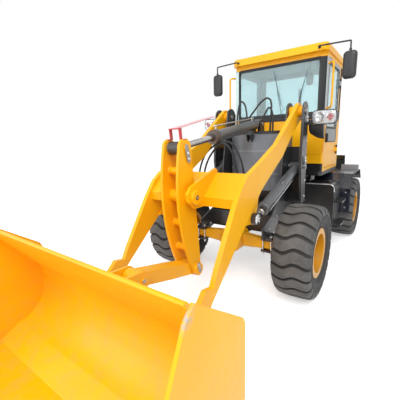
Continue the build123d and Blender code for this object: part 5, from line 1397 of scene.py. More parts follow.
def make_headlamps():
    """Bright bowls behind a domed clear cover on each side, the outer one red, on a curved carrier."""
    low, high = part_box("headlamp_lenses")
    face = low[0]
    lamp_z = (low[2] + high[2]) / 2
    for side, hand in SIDES:
        centre = (hand * LAMP_Y, lamp_z)
        inner_spot = (face, hand * (LAMP_Y - 0.052), lamp_z)
        outer_spot = (face, hand * (LAMP_Y + 0.078), lamp_z)
        bowls = Shape()
        for spot, radius in ((inner_spot, 0.060), (outer_spot, 0.044)):
            bowls.turned(lamp_bowl(radius), spot, (1, 0, 0), 36)
        bowls.done(f"lamp_bowls_{side}", FRONT_BODY, "chrome_rod", REFLECTOR)
        bulb = Shape()
        bulb.turned(((0.004, 0.0), *BULB), inner_spot, (1, 0, 0), 24)
        bulb.done(f"lamp_bulb_{side}", FRONT_BODY, "lamp_lens", PEARL)
        red = Shape()
        red.turned(((0.010, 0.0), *TURN_BULB), outer_spot, (1, 0, 0), 28)
        red.done(f"turn_lamp_{side}", FRONT_BODY, "red_lens")
        bezel = Shape()
        outer, inner = about(centre, (0.157, 0.092), 0.062, 6), about(centre, (0.149, 0.084), 0.056, 6)
        bezel.rim(outer, inner, face - 0.014, face + 0.004, "x")
        bezel.done(f"lamp_bezel_{side}", FRONT_BODY, "black_plastic")
        back = Shape()
        back.prism(about(centre, (0.147, 0.082), 0.054, 6), face + 0.0002, face + 0.0012, "x")
        back.done(f"lamp_backing_{side}", FRONT_BODY, "chrome_rod", BRIGHT_ZINC)
        cover = Shape()
        rings = []
        for depth, grow in ((0.004, 0.0), (0.020, -0.003), (0.031, -0.020), (0.036, -0.055)):
            radius = max(0.016, 0.054 + grow * 0.6)
            rings.append((face + depth, about(centre, (0.150, 0.085), radius, 6, grow)))
        cover.skin(rings, 0.003)
        piece = cover.done(f"lamp_cover_{side}", FRONT_BODY, "lamp_lens", CLEAR_COVER)
        if side == "left":
            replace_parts(piece, "headlamp_lenses")
        carrier = Shape()
        carrier_tray(carrier, face, lamp_z - 0.088, hand)
        carrier.done(f"lamp_carrier_{side}", FRONT_BODY, "black_plastic")


make_panel()
make_tower()
make_axle_clamps()
make_axle_covers()
make_hoses()
make_headlamps()


# ---------------------------------------------------------------- cab
(CAB_BACK, _, CAB_LOW), (CAB_FRONT, CAB_HALF, CAB_HIGH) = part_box("cab_shell")
POST = 0.070
WINDOW_HALF = CAB_HALF - POST
SCREEN_LOW = CAB_LOW + 0.850
WINDOW_TOP = CAB_HIGH - 0.070
DOOR_FRONT = CAB_FRONT - POST - 0.006
DOOR_BACK = CAB_BACK + 0.196
DOOR_WINDOW_LOW = CAB_LOW + 0.600
DOOR_WINDOW_TOP = WINDOW_TOP - 0.056


def window_seal(shape, low, high, radius, face, axis, widths, proud=0.004):
    """Rubber frame round a pane; widths are inward, outward."""
    inward, outward = widths
    outer = rounded((low[0] - outward, low[1] - outward), (high[0] + outward, high[1] + outward), radius + outward, 6)
    corner = max(0.008, radius - inward)
    inner = rounded((low[0] + inward, low[1] + inward), (high[0] - inward, high[1] - inward), corner, 6)
    shape.rim(outer, inner, *sorted((face - proud, face + proud)), axis)


def make_windows():
    """Seals of the fixed windows, and the windscreen's border, bonded edge and apron."""
    seals = Shape()
    for low, face in ((SCREEN_LOW, CAB_FRONT), (SCREEN_LOW - 0.1, CAB_BACK)):
        window_seal(seals, (-WINDOW_HALF, low), (WINDOW_HALF, WINDOW_TOP), 0.040, face, "x", (0.014, 0.012))
    quarter = ((CAB_BACK + 0.070, SCREEN_LOW), (CAB_BACK + 0.145, WINDOW_TOP), 0.012)
    for hand in HANDS:
        window_seal(seals, *quarter, hand * CAB_HALF, "y", (0.010, 0.010))
    seals.done("window_seals", REAR_BODY, "black_plastic", RUBBER_SEAL, soft=0.0018)
    # painted border on the windscreen's inner face: wide below and on the left
    border = Shape()
    low, high = (-WINDOW_HALF + 0.004, SCREEN_LOW + 0.004), (WINDOW_HALF - 0.004, WINDOW_TOP - 0.004)
    clear_low, clear_high = (-WINDOW_HALF + 0.020, SCREEN_LOW + 0.052), (WINDOW_HALF - 0.044, WINDOW_TOP - 0.030)
    outer, inner = rounded(low, high, 0.03, 6), rounded(clear_low, clear_high, 0.03, 6)
    border.rim(outer, inner, CAB_FRONT - 0.0115, CAB_FRONT - 0.0100, "x")
    border.done("screen_border", REAR_BODY, "black_plastic")
    # bonded edge of the glass, over the right-hand post
    margin = Shape()
    edge = rect(-CAB_HALF + 0.006, SCREEN_LOW, -WINDOW_HALF - 0.0125, WINDOW_TOP)
    margin.prism(edge, CAB_FRONT - 0.002, CAB_FRONT + 0.003, "x")
    margin.done("screen_margin", REAR_BODY, "window_glass", BONDED_EDGE, soft=0.001)
    # black band under the windscreen
    apron = Shape()
    low, high = (-WINDOW_HALF - 0.010, SCREEN_LOW - 0.060), (WINDOW_HALF + 0.010, SCREEN_LOW - 0.010)
    apron.prism(rounded(low, high, 0.012), CAB_FRONT - 0.002, CAB_FRONT + 0.006, "x")
    apron.done("screen_apron", REAR_BODY, "black_plastic", soft=0.002)


def make_door(side, hand):
    """Seals, lower pane of opaque dark glass with the cab's shaded inside painted in, handle and swage line of a door
    leaf.
    """
    body = f"door_leaf_{side}"
    back, skin_y = DOOR_BACK + 0.060, hand * CAB_HALF
    pane = Shape()
    low, high = (back, DOOR_WINDOW_LOW + 0.075), (DOOR_FRONT - 0.060, DOOR_WINDOW_TOP)
    window_seal(pane, low, high, 0.050, skin_y, "y", (0.008, 0.006), 0.003)
    low, high = (back, DOOR_WINDOW_LOW - 0.150), (DOOR_FRONT - 0.030, DOOR_WINDOW_LOW + 0.056)
    window_seal(pane, low, high, 0.030, hand * (CAB_HALF + 0.001), "y", (0.006, 0.008), 0.004)
    pane.done(f"door_seals_{side}", body, "black_plastic", RUBBER_SEAL, soft=0.0012)
    # lower pane: opaque and near black, painted shade of the cab's inside seen through it
    lower = Shape()
    low, high = (DOOR_BACK + 0.062, DOOR_WINDOW_LOW - 0.148), (DOOR_FRONT - 0.032, DOOR_WINDOW_LOW + 0.054)
    lower.prism(rounded(low, high, 0.028, 6), *apart(hand, CAB_HALF - 0.001, CAB_HALF + 0.0025))
    lower.done(f"door_low_pane_{side}", body, "window_glass", SHADED_OPAQUE_GLASS)
    handle = Shape()
    x, z = DOOR_FRONT - 0.070, DOOR_WINDOW_LOW - 0.090
    plate = about((x, z), (0.0205, 0.0675), 0.013, 5)
    handle.prism(plate, *apart(hand, CAB_HALF + 0.0035, CAB_HALF + 0.0325))
    lock = [(x, hand * (CAB_HALF + out), z - 0.048) for out in (0.030, 0.0355)]
    handle.bar(*lock, 0.009, 20)
    handle.done(f"door_handle_{side}", body, "black_plastic", soft=0.003, segments=3)
    swage = Shape()
    line = rect(DOOR_BACK + 0.04, 1.585, DOOR_FRONT - 0.02, 1.600)
    swage.prism(line, *apart(hand, CAB_HALF - 0.001, CAB_HALF + 0.005))
    swage.done(f"door_swage_{side}", body, "machine_yellow", soft=0.003, segments=3)


# wipers: y of the pivot, then (y, z) of the arm's elbow and of the blade's two ends
WIPERS = (
    (0.105, (0.010, 2.560), (0.078, 2.335), (-0.055, 2.860)),
    (0.330, (0.395, 2.540), (0.340, 2.300), (0.462, 2.790)),
)


def make_screen_front():
    """Crease across the cab's lower front, wipers and inner mirror."""
    crease = Shape()
    top = SCREEN_LOW - 0.070
    crease.prism(rounded((-0.728, 1.572), (0.728, top), 0.010, 3), CAB_FRONT - 0.002, CAB_FRONT + 0.008, "x")
    corner = rounded((CAB_FRONT - 0.060, 1.590), (CAB_FRONT - 0.006, top), 0.008, 3)
    for hand in HANDS:
        crease.prism(corner, *apart(hand, CAB_HALF - 0.001, CAB_HALF + 0.0025))
    crease.done("cab_creases", REAR_BODY, "machine_yellow", soft=0.003, segments=3)
    wipers = Shape()
    x = CAB_FRONT + 0.012
    for pivot_y, elbow, low, high in WIPERS:
        foot = Vector((CAB_FRONT + 0.004, pivot_y, SCREEN_LOW - 0.030))
        wipers.bar(foot, foot + X_AXIS * 0.022, 0.017, 20)
        bend = (x + 0.014, (pivot_y + elbow[0]) / 2, 2.36)
        wipers.tube([foot + X_AXIS * 0.020, bend, (x + 0.010, *elbow)], 0.0038, 10)
        start, end = Vector((x, *low)), Vector((x, *high))
        wipers.bar(start, end, 0.0032, 8)
        centre = (start + end) / 2
        for share in (0.25, 0.75):
            spot = start.lerp(end, share)
            bridge = [centre + X_AXIS * 0.012, spot + X_AXIS * 0.009, spot + X_AXIS * 0.002]
            wipers.tube(bridge, 0.0024, 8)
        rubber = (end - start).normalized() * 0.012
        wipers.bar(start - rubber - X_AXIS * 0.005, end + rubber - X_AXIS * 0.005, 0.0030, 6)
    wipers.done("wipers", REAR_BODY, "black_plastic")
    mirror = Shape()
    mirror.bar((CAB_FRONT - 0.10, 0.480, CAB_HIGH - 0.045), (CAB_FRONT - 0.085, 0.480, 2.760), 0.006, 12)
    mirror.prism(rounded((0.430, 2.600), (0.530, 2.770), 0.034, 6), CAB_FRONT - 0.096, CAB_FRONT - 0.074, "x")
    mirror.done("inner_mirror", REAR_BODY, "black_plastic", soft=0.003, segments=3)


COLUMN_X = CAB_FRONT - 0.300
# dash hood and pedals: (x from the cab's front, z)
DASH_HOOD = ((-0.060, 1.860), (-0.060, 2.060), (-0.150, 2.075), (-0.215, 1.985), (-0.190, 1.860))
PEDAL = ((-0.150, 1.395), (-0.135, 1.400), (-0.085, 1.490), (-0.100, 1.487))
# turned parts: (distance, radius)
LEVER_KNOB = ((-0.030, 0.012), (-0.010, 0.020), (0.012, 0.023), (0.028, 0.014), (0.030, 0.0))
LEVER_BOOT = ((0.0, 0.034), (0.012, 0.028), (0.022, 0.020), (0.034, 0.012), (0.034, 0.0), (0.0, 0.0))
GAUGE = ((0.0, 0.036), (0.006, 0.038), (0.010, 0.034), (0.006, 0.031))
HORN_BUTTON = ((0.020, 0.050), (0.030, 0.046), (0.038, 0.030), (0.040, 0.0))


def make_cab_lining():
    """Grey lining of the posts and roof, dash, levers, gauges and wheel."""
    lining = Shape()
    inner = CAB_HALF - 0.042
    for hand in HANDS:
        depth = apart(hand, inner - 0.001, inner - 0.014)
        lining.prism(rect(-1.970, CAB_LOW + 0.05, -1.928, WINDOW_TOP), *depth)
        lining.prism(rect(CAB_BACK + 0.043, CAB_LOW + 0.02, -1.972, SCREEN_LOW - 0.012), *depth)
    for x0, z0, x1, z1 in (
        (CAB_BACK + 0.044, CAB_LOW + 0.02, CAB_BACK + 0.056, SCREEN_LOW - 0.112),
        (CAB_BACK + 0.046, CAB_HIGH - 0.020, CAB_FRONT - 0.046, CAB_HIGH - 0.002),
        (CAB_FRONT - 0.056, CAB_LOW + 0.02, CAB_FRONT - 0.044, SCREEN_LOW - 0.008),
    ):
        lining.block((x0, -0.690, z0), (x1, 0.690, z1))
    lining.done("cab_lining", REAR_BODY, "panel_grey", LINING, soft=0.003)
    # dash hood round the column's head, console for the levers, floor mat
    dash = Shape()
    dash.prism([(CAB_FRONT + x, z) for x, z in DASH_HOOD], -0.300, 0.300)
    console = rounded((COLUMN_X - 0.80, -0.520), (COLUMN_X - 0.25, -0.330), 0.04, 5)
    dash.prism(console, CAB_LOW + 0.001, CAB_LOW + 0.540, "z")
    dash.block((CAB_BACK + 0.060, -0.690, CAB_LOW + 0.0005), (CAB_FRONT - 0.060, 0.690, CAB_LOW + 0.008))
    dash.done("dash_and_console", REAR_BODY, "black_plastic", soft=0.010, segments=3)
    levers = Shape()
    for k, y in enumerate((-0.470, -0.400)):
        foot = Vector((COLUMN_X - 0.38, y, CAB_LOW + 0.535))
        top = foot + Vector((0.02 + 0.02 * k, 0.004, 0.190))
        levers.tube([foot, foot + Vector((-0.012, 0, 0.09)), top], 0.0065, 10)
        levers.turned(((-0.030, 0.0), *LEVER_KNOB), top, (0.1, 0, 1), 20)
        levers.turned(LEVER_BOOT, foot, (0, 0, 1), 20)
    for y in (-0.130, 0.130, 0.220):
        levers.prism([(CAB_FRONT + x, z) for x, z in PEDAL], y - 0.035, y + 0.035)
        levers.bar((CAB_FRONT - 0.110, y, 1.450), (CAB_FRONT - 0.050, y, 1.560), 0.007, 10)
    levers.done("levers_and_pedals", REAR_BODY, "black_plastic")
    gauges = Shape()
    for y in (-0.160, -0.055, 0.055, 0.160):
        gauges.plug(GAUGE, (CAB_FRONT - 0.186, y, 2.030), (-0.81, 0, 0.58), 28)
    gauges.done("gauges", REAR_BODY, "chrome_rod", REFLECTOR)
    # padded rim, horn button and spinner knob of the steering wheel
    wheel_at = Vector((COLUMN_X, 0, CAB_LOW + 0.800))
    tilt = Vector((-0.5, 0, 0.866)).normalized()
    rim = Shape()
    turns = [2 * math.pi * k / 12 for k in range(12)]
    padding = [(0.011 + 0.0165 * math.sin(turn), 0.178 + 0.0165 * math.cos(turn)) for turn in turns]
    rim.turned(padding, wheel_at, tilt, 64)
    rim.turned(((0.020, 0.0), *HORN_BUTTON), wheel_at, tilt, 36)
    knob = [wheel_at + tilt * rise + Vector((0, 0.155, 0)) for rise in (0.02, 0.075)]
    rim.bar(*knob, 0.015, 18)
    rim.done("wheel_rim_cover", REAR_BODY, "black_plastic")


CUSHION_GRID = (26, 26, 8)
CORNER_POWER = 5.0


def cushion_point(u, v, w, half, crown, channels):
    """Point of a cushion at (u, v, w), each from -1 to 1."""
    norm = (abs(u) ** CORNER_POWER + abs(v) ** CORNER_POWER) ** (1 / CORNER_POWER)
    scale = max(abs(u), abs(v)) / norm if norm > 0 else 1
    edge = 1 - 0.16 * abs(w) ** 3
    x = u * scale * half.x * edge * (1 - 0.025 * (1 - v * v) * abs(u))
    y = v * scale * half.y * edge * (1 - 0.025 * (1 - u * u) * abs(v))
    z = w * half.z
    if w > 0.99:
        # crowned top, rolled over at its edges, with sewn channels
        roll = min(1.0, (1 - abs(u)) * 7) * min(1.0, (1 - abs(v)) * 7)
        z += crown * (1 - u * u) * (1 - v * v) - 0.016 * (1 - roll)
        for line in channels:
            z -= 0.013 * math.exp(-(((u - line) * half.x / 0.007) ** 2))
        z -= 0.010 * math.exp(-(((abs(v) - 0.62) * half.y / 0.008) ** 2))
    return x, y, z


def cushion(name, centre, size, crown, turn_deg, channels):
    """Crowned cushion: rounded block with pulled-in sides and sewn channels."""
    shape = Shape()
    half = Vector(size) / 2
    grid = {}

    def vert(key):
        if key not in grid:
            place = (2 * step / count - 1 for step, count in zip(key, CUSHION_GRID))
            grid[key] = shape.bm.verts.new(cushion_point(*place, half, crown, channels))
        return grid[key]

    for axis in (2, 0, 1):
        rows, columns = (n for k, n in enumerate(CUSHION_GRID) if k != axis)
        for fixed in (0, CUSHION_GRID[axis]):
            for a in range(rows):
                for b in range(columns):
                    corners = ((a, b), (a + 1, b), (a + 1, b + 1), (a, b + 1))
                    shape.bm.faces.new([vert((*c[:axis], fixed, *c[axis:])) for c in corners])
    turn = Matrix.Rotation(math.radians(turn_deg), 4, "Y")
    bmesh.ops.transform(shape.bm, matrix=Matrix.Translation(centre) @ turn, verts=shape.bm.verts)
    mesh = shape.mesh(name)
    mesh.polygons.foreach_set("use_smooth", [True] * len(mesh.polygons))
    finished(name, mesh, REAR_BODY, "seat_cover")


def make_seat():
    """Seat base with its bellows, arm rests and two padded cushions."""
    floor_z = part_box("seat")[0][2]
    x = (CAB_FRONT + CAB_BACK) / 2 - 0.090
    base = Shape()

    def tray(half, radius, low, high):
        base.prism(about((x, 0.0), (half, half), radius), low, high, "z")

    tray(0.165, 0.03, floor_z + 0.001, floor_z + 0.06)
    for k in range(6):
        fold = floor_z + 0.060 + 0.034 * k
        tray(0.160, 0.03, fold, fold + 0.020)
        tray(0.146, 0.03, fold + 0.020, fold + 0.034)
    tray(0.200, 0.04, floor_z + 0.264, floor_z + 0.300)
    rest = rounded((x - 0.235, floor_z + 0.595), (x + 0.030, floor_z + 0.640), 0.018, 5)
    for hand in HANDS:
        y = hand * 0.235
        base.bar((x - 0.215, y, floor_z + 0.44), (x - 0.235, y, floor_z + 0.60), 0.014, 12)
        base.prism(rest, *apart(hand, 0.212, 0.262))
    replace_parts(base.done("seat_base", REAR_BODY, "black_plastic", soft=0.004), "seat")
    place = Vector((x, 0, floor_z + 0.352))
    cushion("seat_cushion", place, (0.460, 0.470, 0.100), 0.020, 0, (-0.35, 0.05, 0.45))
    place = Vector((x - 0.235, 0, floor_z + 0.675))
    cushion("seat_back", place, (0.520, 0.430, 0.085), 0.018, 80.5, (-0.55, -0.2, 0.15, 0.5))


# mirror shell from its back to its front: (x, growth all round)
MIRROR_SHELL = ((-0.030, -0.006), (-0.024, 0.0), (-0.006, 0.0), (0.012, -0.006), (0.024, -0.020), (0.030, -0.042))


def make_mirrors():
    """Rounded mirror shells on bent arms, with the glass on the driver's side."""
    arms, shells, panes = Shape(), Shape(), Shape()
    x = CAB_FRONT + 0.110
    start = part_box("cab_roof")[1][0] - 0.004
    z = CAB_HIGH + 0.040
    for hand in HANDS:
        y_in, y_out = hand * (CAB_HALF - 0.100), hand * (CAB_HALF + 0.300)
        out_of_roof = [(start, y_in, z), (x + 0.020, y_in, z), (x + 0.045, y_in + hand * 0.010, z)]
        across = [(x + 0.040, y_in + hand * 0.060, z), (x + 0.006, y_out - hand * 0.040, z)]
        down = [(x, y_out - hand * 0.004, z - 0.006), (x, y_out, z - 0.040), (x, y_out, 2.900)]
        arms.tube(out_of_roof + across + down, 0.0105, 14)
        arms.bar((x, y_out, 2.925), (x, y_out, 2.965), 0.017, 16)
        arms.bar((start - 0.004, y_in, z), (start + 0.012, y_in, z), 0.020, 20)
        rings = []
        for deep, grow in MIRROR_SHELL:
            low, high = (y_out - 0.085 - grow, 2.585 - grow), (y_out + 0.085 + grow, 2.938 + grow)
            rings.append((x + deep, rounded(low, high, 0.050 + grow * 0.5, 7)))
        shells.skin(rings, 0.006)
        glass = rounded((y_out - 0.074, 2.597), (y_out + 0.074, 2.926), 0.042, 7)
        panes.prism(glass, x - 0.0300, x - 0.0255, "x")
    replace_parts(arms.done("mirror_arms", REAR_BODY, "black_plastic"), "mirrors")
    shells.done("mirror_shells", REAR_BODY, "black_plastic")
    panes.done("mirror_glass", REAR_BODY, "chrome_rod", REFLECTOR)


make_windows()
for side, hand in SIDES:
    make_door(side, hand)
make_screen_front()
make_mirrors()
make_cab_lining()
make_seat()


# ---------------------------------------------------------------- hood, tail and sides
(HOOD_BACK, _, HOOD_LOW), (HOOD_FRONT, HOOD_HALF, HOOD_HIGH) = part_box("hood")
(TAIL_X, _, _), (_, _, TAIL_HIGH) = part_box("counterweight")
TRIM_BOLT = (0.007, 0.005, 0.002)


def make_hood():
    """Pressings, vents with their blades, latches, grab handles and bolts of the hood."""
    trim = Shape()
    # raised spine, and the seam flanges on either side
    spine = rounded((HOOD_BACK + 0.10, -0.21), (HOOD_FRONT - 0.10, 0.21), 0.05, 5)
    trim.prism(spine, HOOD_HIGH - 0.001, HOOD_HIGH + 0.007, "z")
    field = rounded((HOOD_BACK + 0.62, HOOD_LOW + 0.12), (HOOD_FRONT - 0.05, HOOD_LOW + 0.46), 0.04, 5)
    flange = rounded((HOOD_BACK + 0.02, HOOD_LOW + 0.010), (HOOD_FRONT - 0.02, HOOD_LOW + 0.030), 0.006, 3)
    for hand in HANDS:
        for outline in (field, flange):
            trim.prism(outline, *apart(hand, HOOD_HALF - 0.001, HOOD_HALF + 0.006))
    trim.done("hood_pressings", REAR_BODY, "machine_yellow", soft=0.003, segments=3)
    frames = Shape()
    outer = rounded((HOOD_BACK + 0.104, 1.494), (HOOD_BACK + 0.556, 1.786), 0.044, 6)
    inner = rounded((HOOD_BACK + 0.122, 1.512), (HOOD_BACK + 0.538, 1.768), 0.028, 6)
    for hand in HANDS:
        frames.rim(outer, inner, *apart(hand, HOOD_HALF - 0.003, HOOD_HALF + 0.006), "y")
    frames.done("vent_frames", REAR_BODY, "black_plastic", soft=0.0015)
    # louvre blades, tilted, in the side vents and across the radiator's opening
    louvres = Shape()
    for hand in HANDS:
        y_in, y_out = hand * (HOOD_HALF - 0.012), hand * (HOOD_HALF + 0.002)
        for k in range(6):
            z = 1.555 + 0.034 * k
            blade = [(y_in, z + 0.010), (y_out, z - 0.006), (y_out, z - 0.009), (y_in, z + 0.006)]
            louvres.prism(blade, HOOD_BACK + 0.150, HOOD_BACK + 0.510, "x")
    x_in, x_out = HOOD_BACK + 0.013, HOOD_BACK + 0.002
    for k in range(9):
        z = HOOD_LOW + 0.075 + 0.052 * k
        louvres.prism(((x_in, z + 0.008), (x_out, z - 0.008), (x_out, z - 0.011), (x_in, z + 0.004)), -0.43, 0.43)
    louvres.done("louvre_blades", REAR_BODY, "black_plastic")
    latches = Shape()
    for hand in HANDS:
        for x in (HOOD_BACK + 0.70, HOOD_FRONT - 0.12):
            latch = rounded((x - 0.016, HOOD_LOW + 0.030), (x + 0.016, HOOD_LOW + 0.110), 0.010, 4)
            latches.prism(latch, *apart(hand, HOOD_HALF + 0.001, HOOD_HALF + 0.016))
        foot_y, grip_y = hand * (HOOD_HALF + 0.006), hand * (HOOD_HALF + 0.040)
        grip = ((0.75, foot_y), (0.755, grip_y), (0.83, grip_y), (0.905, grip_y), (0.91, foot_y))
        latches.tube([(HOOD_BACK + x, y, HOOD_LOW + 0.53) for x, y in grip], 0.008, 12)
    latches.done("hood_latches", REAR_BODY, "black_plastic")
    places = []
    for hand in HANDS:
        for k in range(6):
            x = HOOD_BACK + 0.06 + (HOOD_FRONT - HOOD_BACK - 0.12) * k / 5
            places.append(((x, hand * (HOOD_HALF + 0.0055), HOOD_LOW + 0.020), (0, hand, 0)))
    bolts("hood_bolts", places, REAR_BODY, TRIM_BOLT, BRIGHT_ZINC)


# turned parts: (distance, radius)
SILENCER_FOOT = ((-0.002, 0.092), (0.006, 0.092), (0.009, 0.070))
SILENCER_TOP = ((0.300, 0.060), (0.318, 0.054), (0.334, 0.040), (0.345, 0.036))
RAIN_LID = ((-0.002, 0.040), (0.0015, 0.0415), (0.003, 0.038))


def make_exhaust():
    """Clamps and ribs of the silencer, and the rain cap on its pipe."""
    low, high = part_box("exhaust")
    x, y = (low[0] + high[0]) / 2, (low[1] + high[1]) / 2
    silencer = Shape()
    silencer.plug(SILENCER_FOOT, (x, y, HOOD_HIGH), Z_AXIS, 40)
    for z in (HOOD_HIGH + 0.045, HOOD_HIGH + 0.285):
        silencer.ring((x, y, z), Z_AXIS, 0.0615, 0.005, 0.026)
        silencer.bar((x - 0.020, y + 0.068, z), (x + 0.020, y + 0.068, z), 0.006, 8)
    silencer.plug(SILENCER_TOP, (x, y, HOOD_HIGH), Z_AXIS, 40)
    silencer.ring((x, y, HOOD_HIGH + 0.735), Z_AXIS, 0.0335, 0.004, 0.022)
    silencer.done("silencer_clamps", REAR_BODY, "black_paint")
    cap = Shape()
    hinge = Vector((x - 0.040, y, high[2] - 0.002))
    lean = Vector((0.94, 0, 0.34)).normalized()
    normal = Vector((-0.34, 0, 0.94)).normalized()
    cap.plug(RAIN_LID, hinge + lean * 0.046 + normal * 0.004, normal, 36)
    cap.bar(hinge - Y_AXIS * 0.020, hinge + Y_AXIS * 0.020, 0.005, 12)
    cap.bar(hinge, hinge - lean * 0.030, 0.004, 8)
    cap.done("rain_cap", REAR_BODY, "bare_steel")
    # ribs pressed in the silencer's shield
    ribs = Shape()
    for row in range(5):
        for k in range(10):
            turn = math.radians(36 * k + 18 * (row % 2))
            out = Vector((math.cos(turn), math.sin(turn), 0))
            spot = Vector((x, y, HOOD_HIGH + 0.085 + 0.040 * row)) + out * 0.0618
            ribs.bar(spot - Z_AXIS * 0.013, spot + Z_AXIS * 0.013, 0.0035, 6)
    ribs.done("silencer_ribs", REAR_BODY, "black_paint")


LIFTING_EYE = ((0.0, 0.018), (0.004, 0.030), (0.016, 0.034), (0.028, 0.030), (0.032, 0.018))
HITCH_HEAD = ((-0.004, 0.030), (0.004, 0.032), (0.010, 0.026))
HITCH_LOOP = ((-0.020, 0.006), (-0.024, 0.034), (0, 0.052), (0.024, 0.034), (0.020, 0.006))


def make_tail():
    """Tail lamp frames, lifting eyes and the hitch pin's head."""
    lamps, clear = Shape(), Shape()
    low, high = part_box("tail_lamps")
    face, z = low[0], (low[2] + high[2]) / 2
    for side, hand in SIDES:
        y = hand * 0.600
        outer, inner = about((y, z), (0.092, 0.056), 0.024, 5), about((y, z), (0.080, 0.044), 0.016, 5)
        lamps.rim(outer, inner, face - 0.010, face + 0.020, "x")
        for dy in (-0.027, 0.027):
            bar = rect(y + dy - 0.002, z - 0.045, y + dy + 0.002, z + 0.045)
            lamps.prism(bar, face - 0.007, face + 0.002, "x")
        y0, y1 = sorted((y + hand * 0.030, y + hand * 0.078))
        clear.prism(rounded((y0, z - 0.042), (y1, z + 0.042), 0.012, 4), face - 0.006, face + 0.001, "x")
        places = [((face + 0.030, y + dy, high[2]), Z_AXIS) for dy in (-0.05, 0.05)]
        bolts(f"tail_lamp_bolts_{side}", places, REAR_BODY, (0.006, 0.005, 0.002))
    lamps.done("tail_lamp_frames", REAR_BODY, "black_plastic", soft=0.0015)
    clear.done("tail_turn_lamps", REAR_BODY, "red_lens", AMBER, soft=0.003, segments=3)
    eyes = Shape()
    for hand in HANDS:
        eyes.turned(LIFTING_EYE, (TAIL_X + 0.20, hand * 0.30, TAIL_HIGH + 0.020), (0, hand, 0), 28)
    eyes.done("tail_castings", REAR_BODY, "frame_grey", soft=0.002)
    head = Shape()
    low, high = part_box("hitch_pin")
    x, y = (low[0] + high[0]) / 2, (low[1] + high[1]) / 2
    head.plug(HITCH_HEAD, (x, y, high[2]), Z_AXIS, 28)
    head.tube([(x + dx, y, high[2] + rise) for dx, rise in HITCH_LOOP], 0.005, 10)
    head.done("hitch_pin_head", REAR_BODY, "bare_steel")


# outer edge of a fender: (x from the rear axle, z)
FENDER_LIP = ((0.6195, 0.562), (0.6195, 0.962), (0.4665, 1.197), (-0.383, 1.197), (-0.567, 1.014))
FENDER_TOP = 1.204
# small plate that stands on each fender: (x, z)
FENDER_FLAP = ((-2.606, 1.203), (-2.596, 1.203), (-2.602, 1.292), (-2.612, 1.292))
TANK_CAP = ((0.0, 0.034), (0.012, 0.034), (0.014, 0.046), (0.034, 0.044), (0.038, 0.036))
TANK_IN, TANK_OUT, TANK_TOP = 0.429, 0.919, 1.100
TANK_CORNER = 0.070
TREAD_X, TREAD_TOPS = -1.339, (0.454, 0.824)
STUD_STEP_X, STUD_STEP_Y = 0.035, 0.034


def make_tank_trim(side, hand):
    """Bare rolled edge round the tank's front, its straps and cap."""
    front_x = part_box("side_tanks")[1][0] + 0.002
    rail = Shape()
    run = [(front_x, hand * (TANK_IN + TANK_CORNER), TANK_TOP)]
    for k in range(7):
        turn = math.radians(90 - 15 * k)
        y = TANK_OUT - TANK_CORNER + TANK_CORNER * math.cos(turn)
        run.append((front_x, hand * y, TANK_TOP - TANK_CORNER + TANK_CORNER * math.sin(turn)))
    run.append((front_x, hand * TANK_OUT, 0.985))
    rail.tube(run, 0.0085, 10)
    rail.done(f"tank_edge_{side}", REAR_BODY, "bare_steel", BRIGHT_ZINC)
    straps = Shape()
    (out0, out1), (in0, in1) = apart(hand, TANK_IN - 0.002, TANK_OUT + 0.006), apart(hand, TANK_IN, TANK_OUT - 0.001)
    for x in (-1.180, -1.500):
        outer, inner = rounded((out0, 0.474), (out1, 1.106), 0.075, 6), rounded((in0, 0.481), (in1, 1.099), 0.070, 6)
        straps.rim(outer, inner, x - 0.018, x + 0.018, "x")
    straps.done(f"tank_straps_{side}", REAR_BODY, "frame_grey")
    cap = Shape()
    cap.plug(TANK_CAP, (-1.300, hand * 0.800, 1.099), Z_AXIS, 32)
    cap.done(f"tank_cap_{side}", REAR_BODY, "black_plastic")


def make_sides():
    """Fender lips, bolts and plates, tank trim, and the studs of the treads."""
    lips = Shape()
    lip_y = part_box("rear_fenders")[1][1] - 0.003
    for hand in HANDS:
        for (x0, z0), (x1, z1) in zip(FENDER_LIP, FENDER_LIP[1:]):
            lips.bar((REAR_X + x0, hand * lip_y, z0), (REAR_X + x1, hand * lip_y, z1), 0.0095, 12)
    lips.done("fender_lips", REAR_BODY, "black_plastic")
    for side, hand in SIDES:
        places = [((REAR_X + dx, hand * y, FENDER_TOP), Z_AXIS) for dx in (0.02, 0.10) for y in (0.475, 0.500)]
        places += [((REAR_X + 0.6265, hand * y, z), X_AXIS) for y in (0.52, 1.00) for z in (0.64, 0.90)]
        bolts(f"fender_bolts_{side}", places, REAR_BODY, (0.009, 0.008, 0.003))
        flap = Shape()
        for outline in (FENDER_FLAP, rect(-2.606, 1.203, -2.560, 1.2075)):
            flap.prism(outline, *apart(hand, 0.745, 1.050))
        flap.done(f"fender_plate_{side}", REAR_BODY, "panel_grey", GREY_PLATE, soft=0.002)
        make_tank_trim(side, hand)
    # studs that roughen the treads
    studs = []
    for hand in HANDS:
        for z in TREAD_TOPS:
            for i in range(9):
                for j in range(3):
                    x, y = TREAD_X - 0.140 + STUD_STEP_X * i, 0.940 + STUD_STEP_Y * j
                    studs.append(((x, hand * y, z), Z_AXIS))
    bolts("tread_studs", studs, REAR_BODY, (0.0055, 0.003, 0.001), slot="black_paint")


JOINT_Z = 0.520
HINGE_CAP = ((-0.001, 0.056), (0.008, 0.056), (0.010, 0.050))
SHAFT_START = ((0.030, 0.0), (0.030, 0.016), (0.060, 0.022), (0.085, 0.036))
# rest of the shaft, from its flange back
SHAFT_END = (
    (-0.090, 0.036), (-0.075, 0.026), (-0.040, 0.026), (-0.030, 0.060), (-0.012, 0.060), (-0.010, 0.0),
)


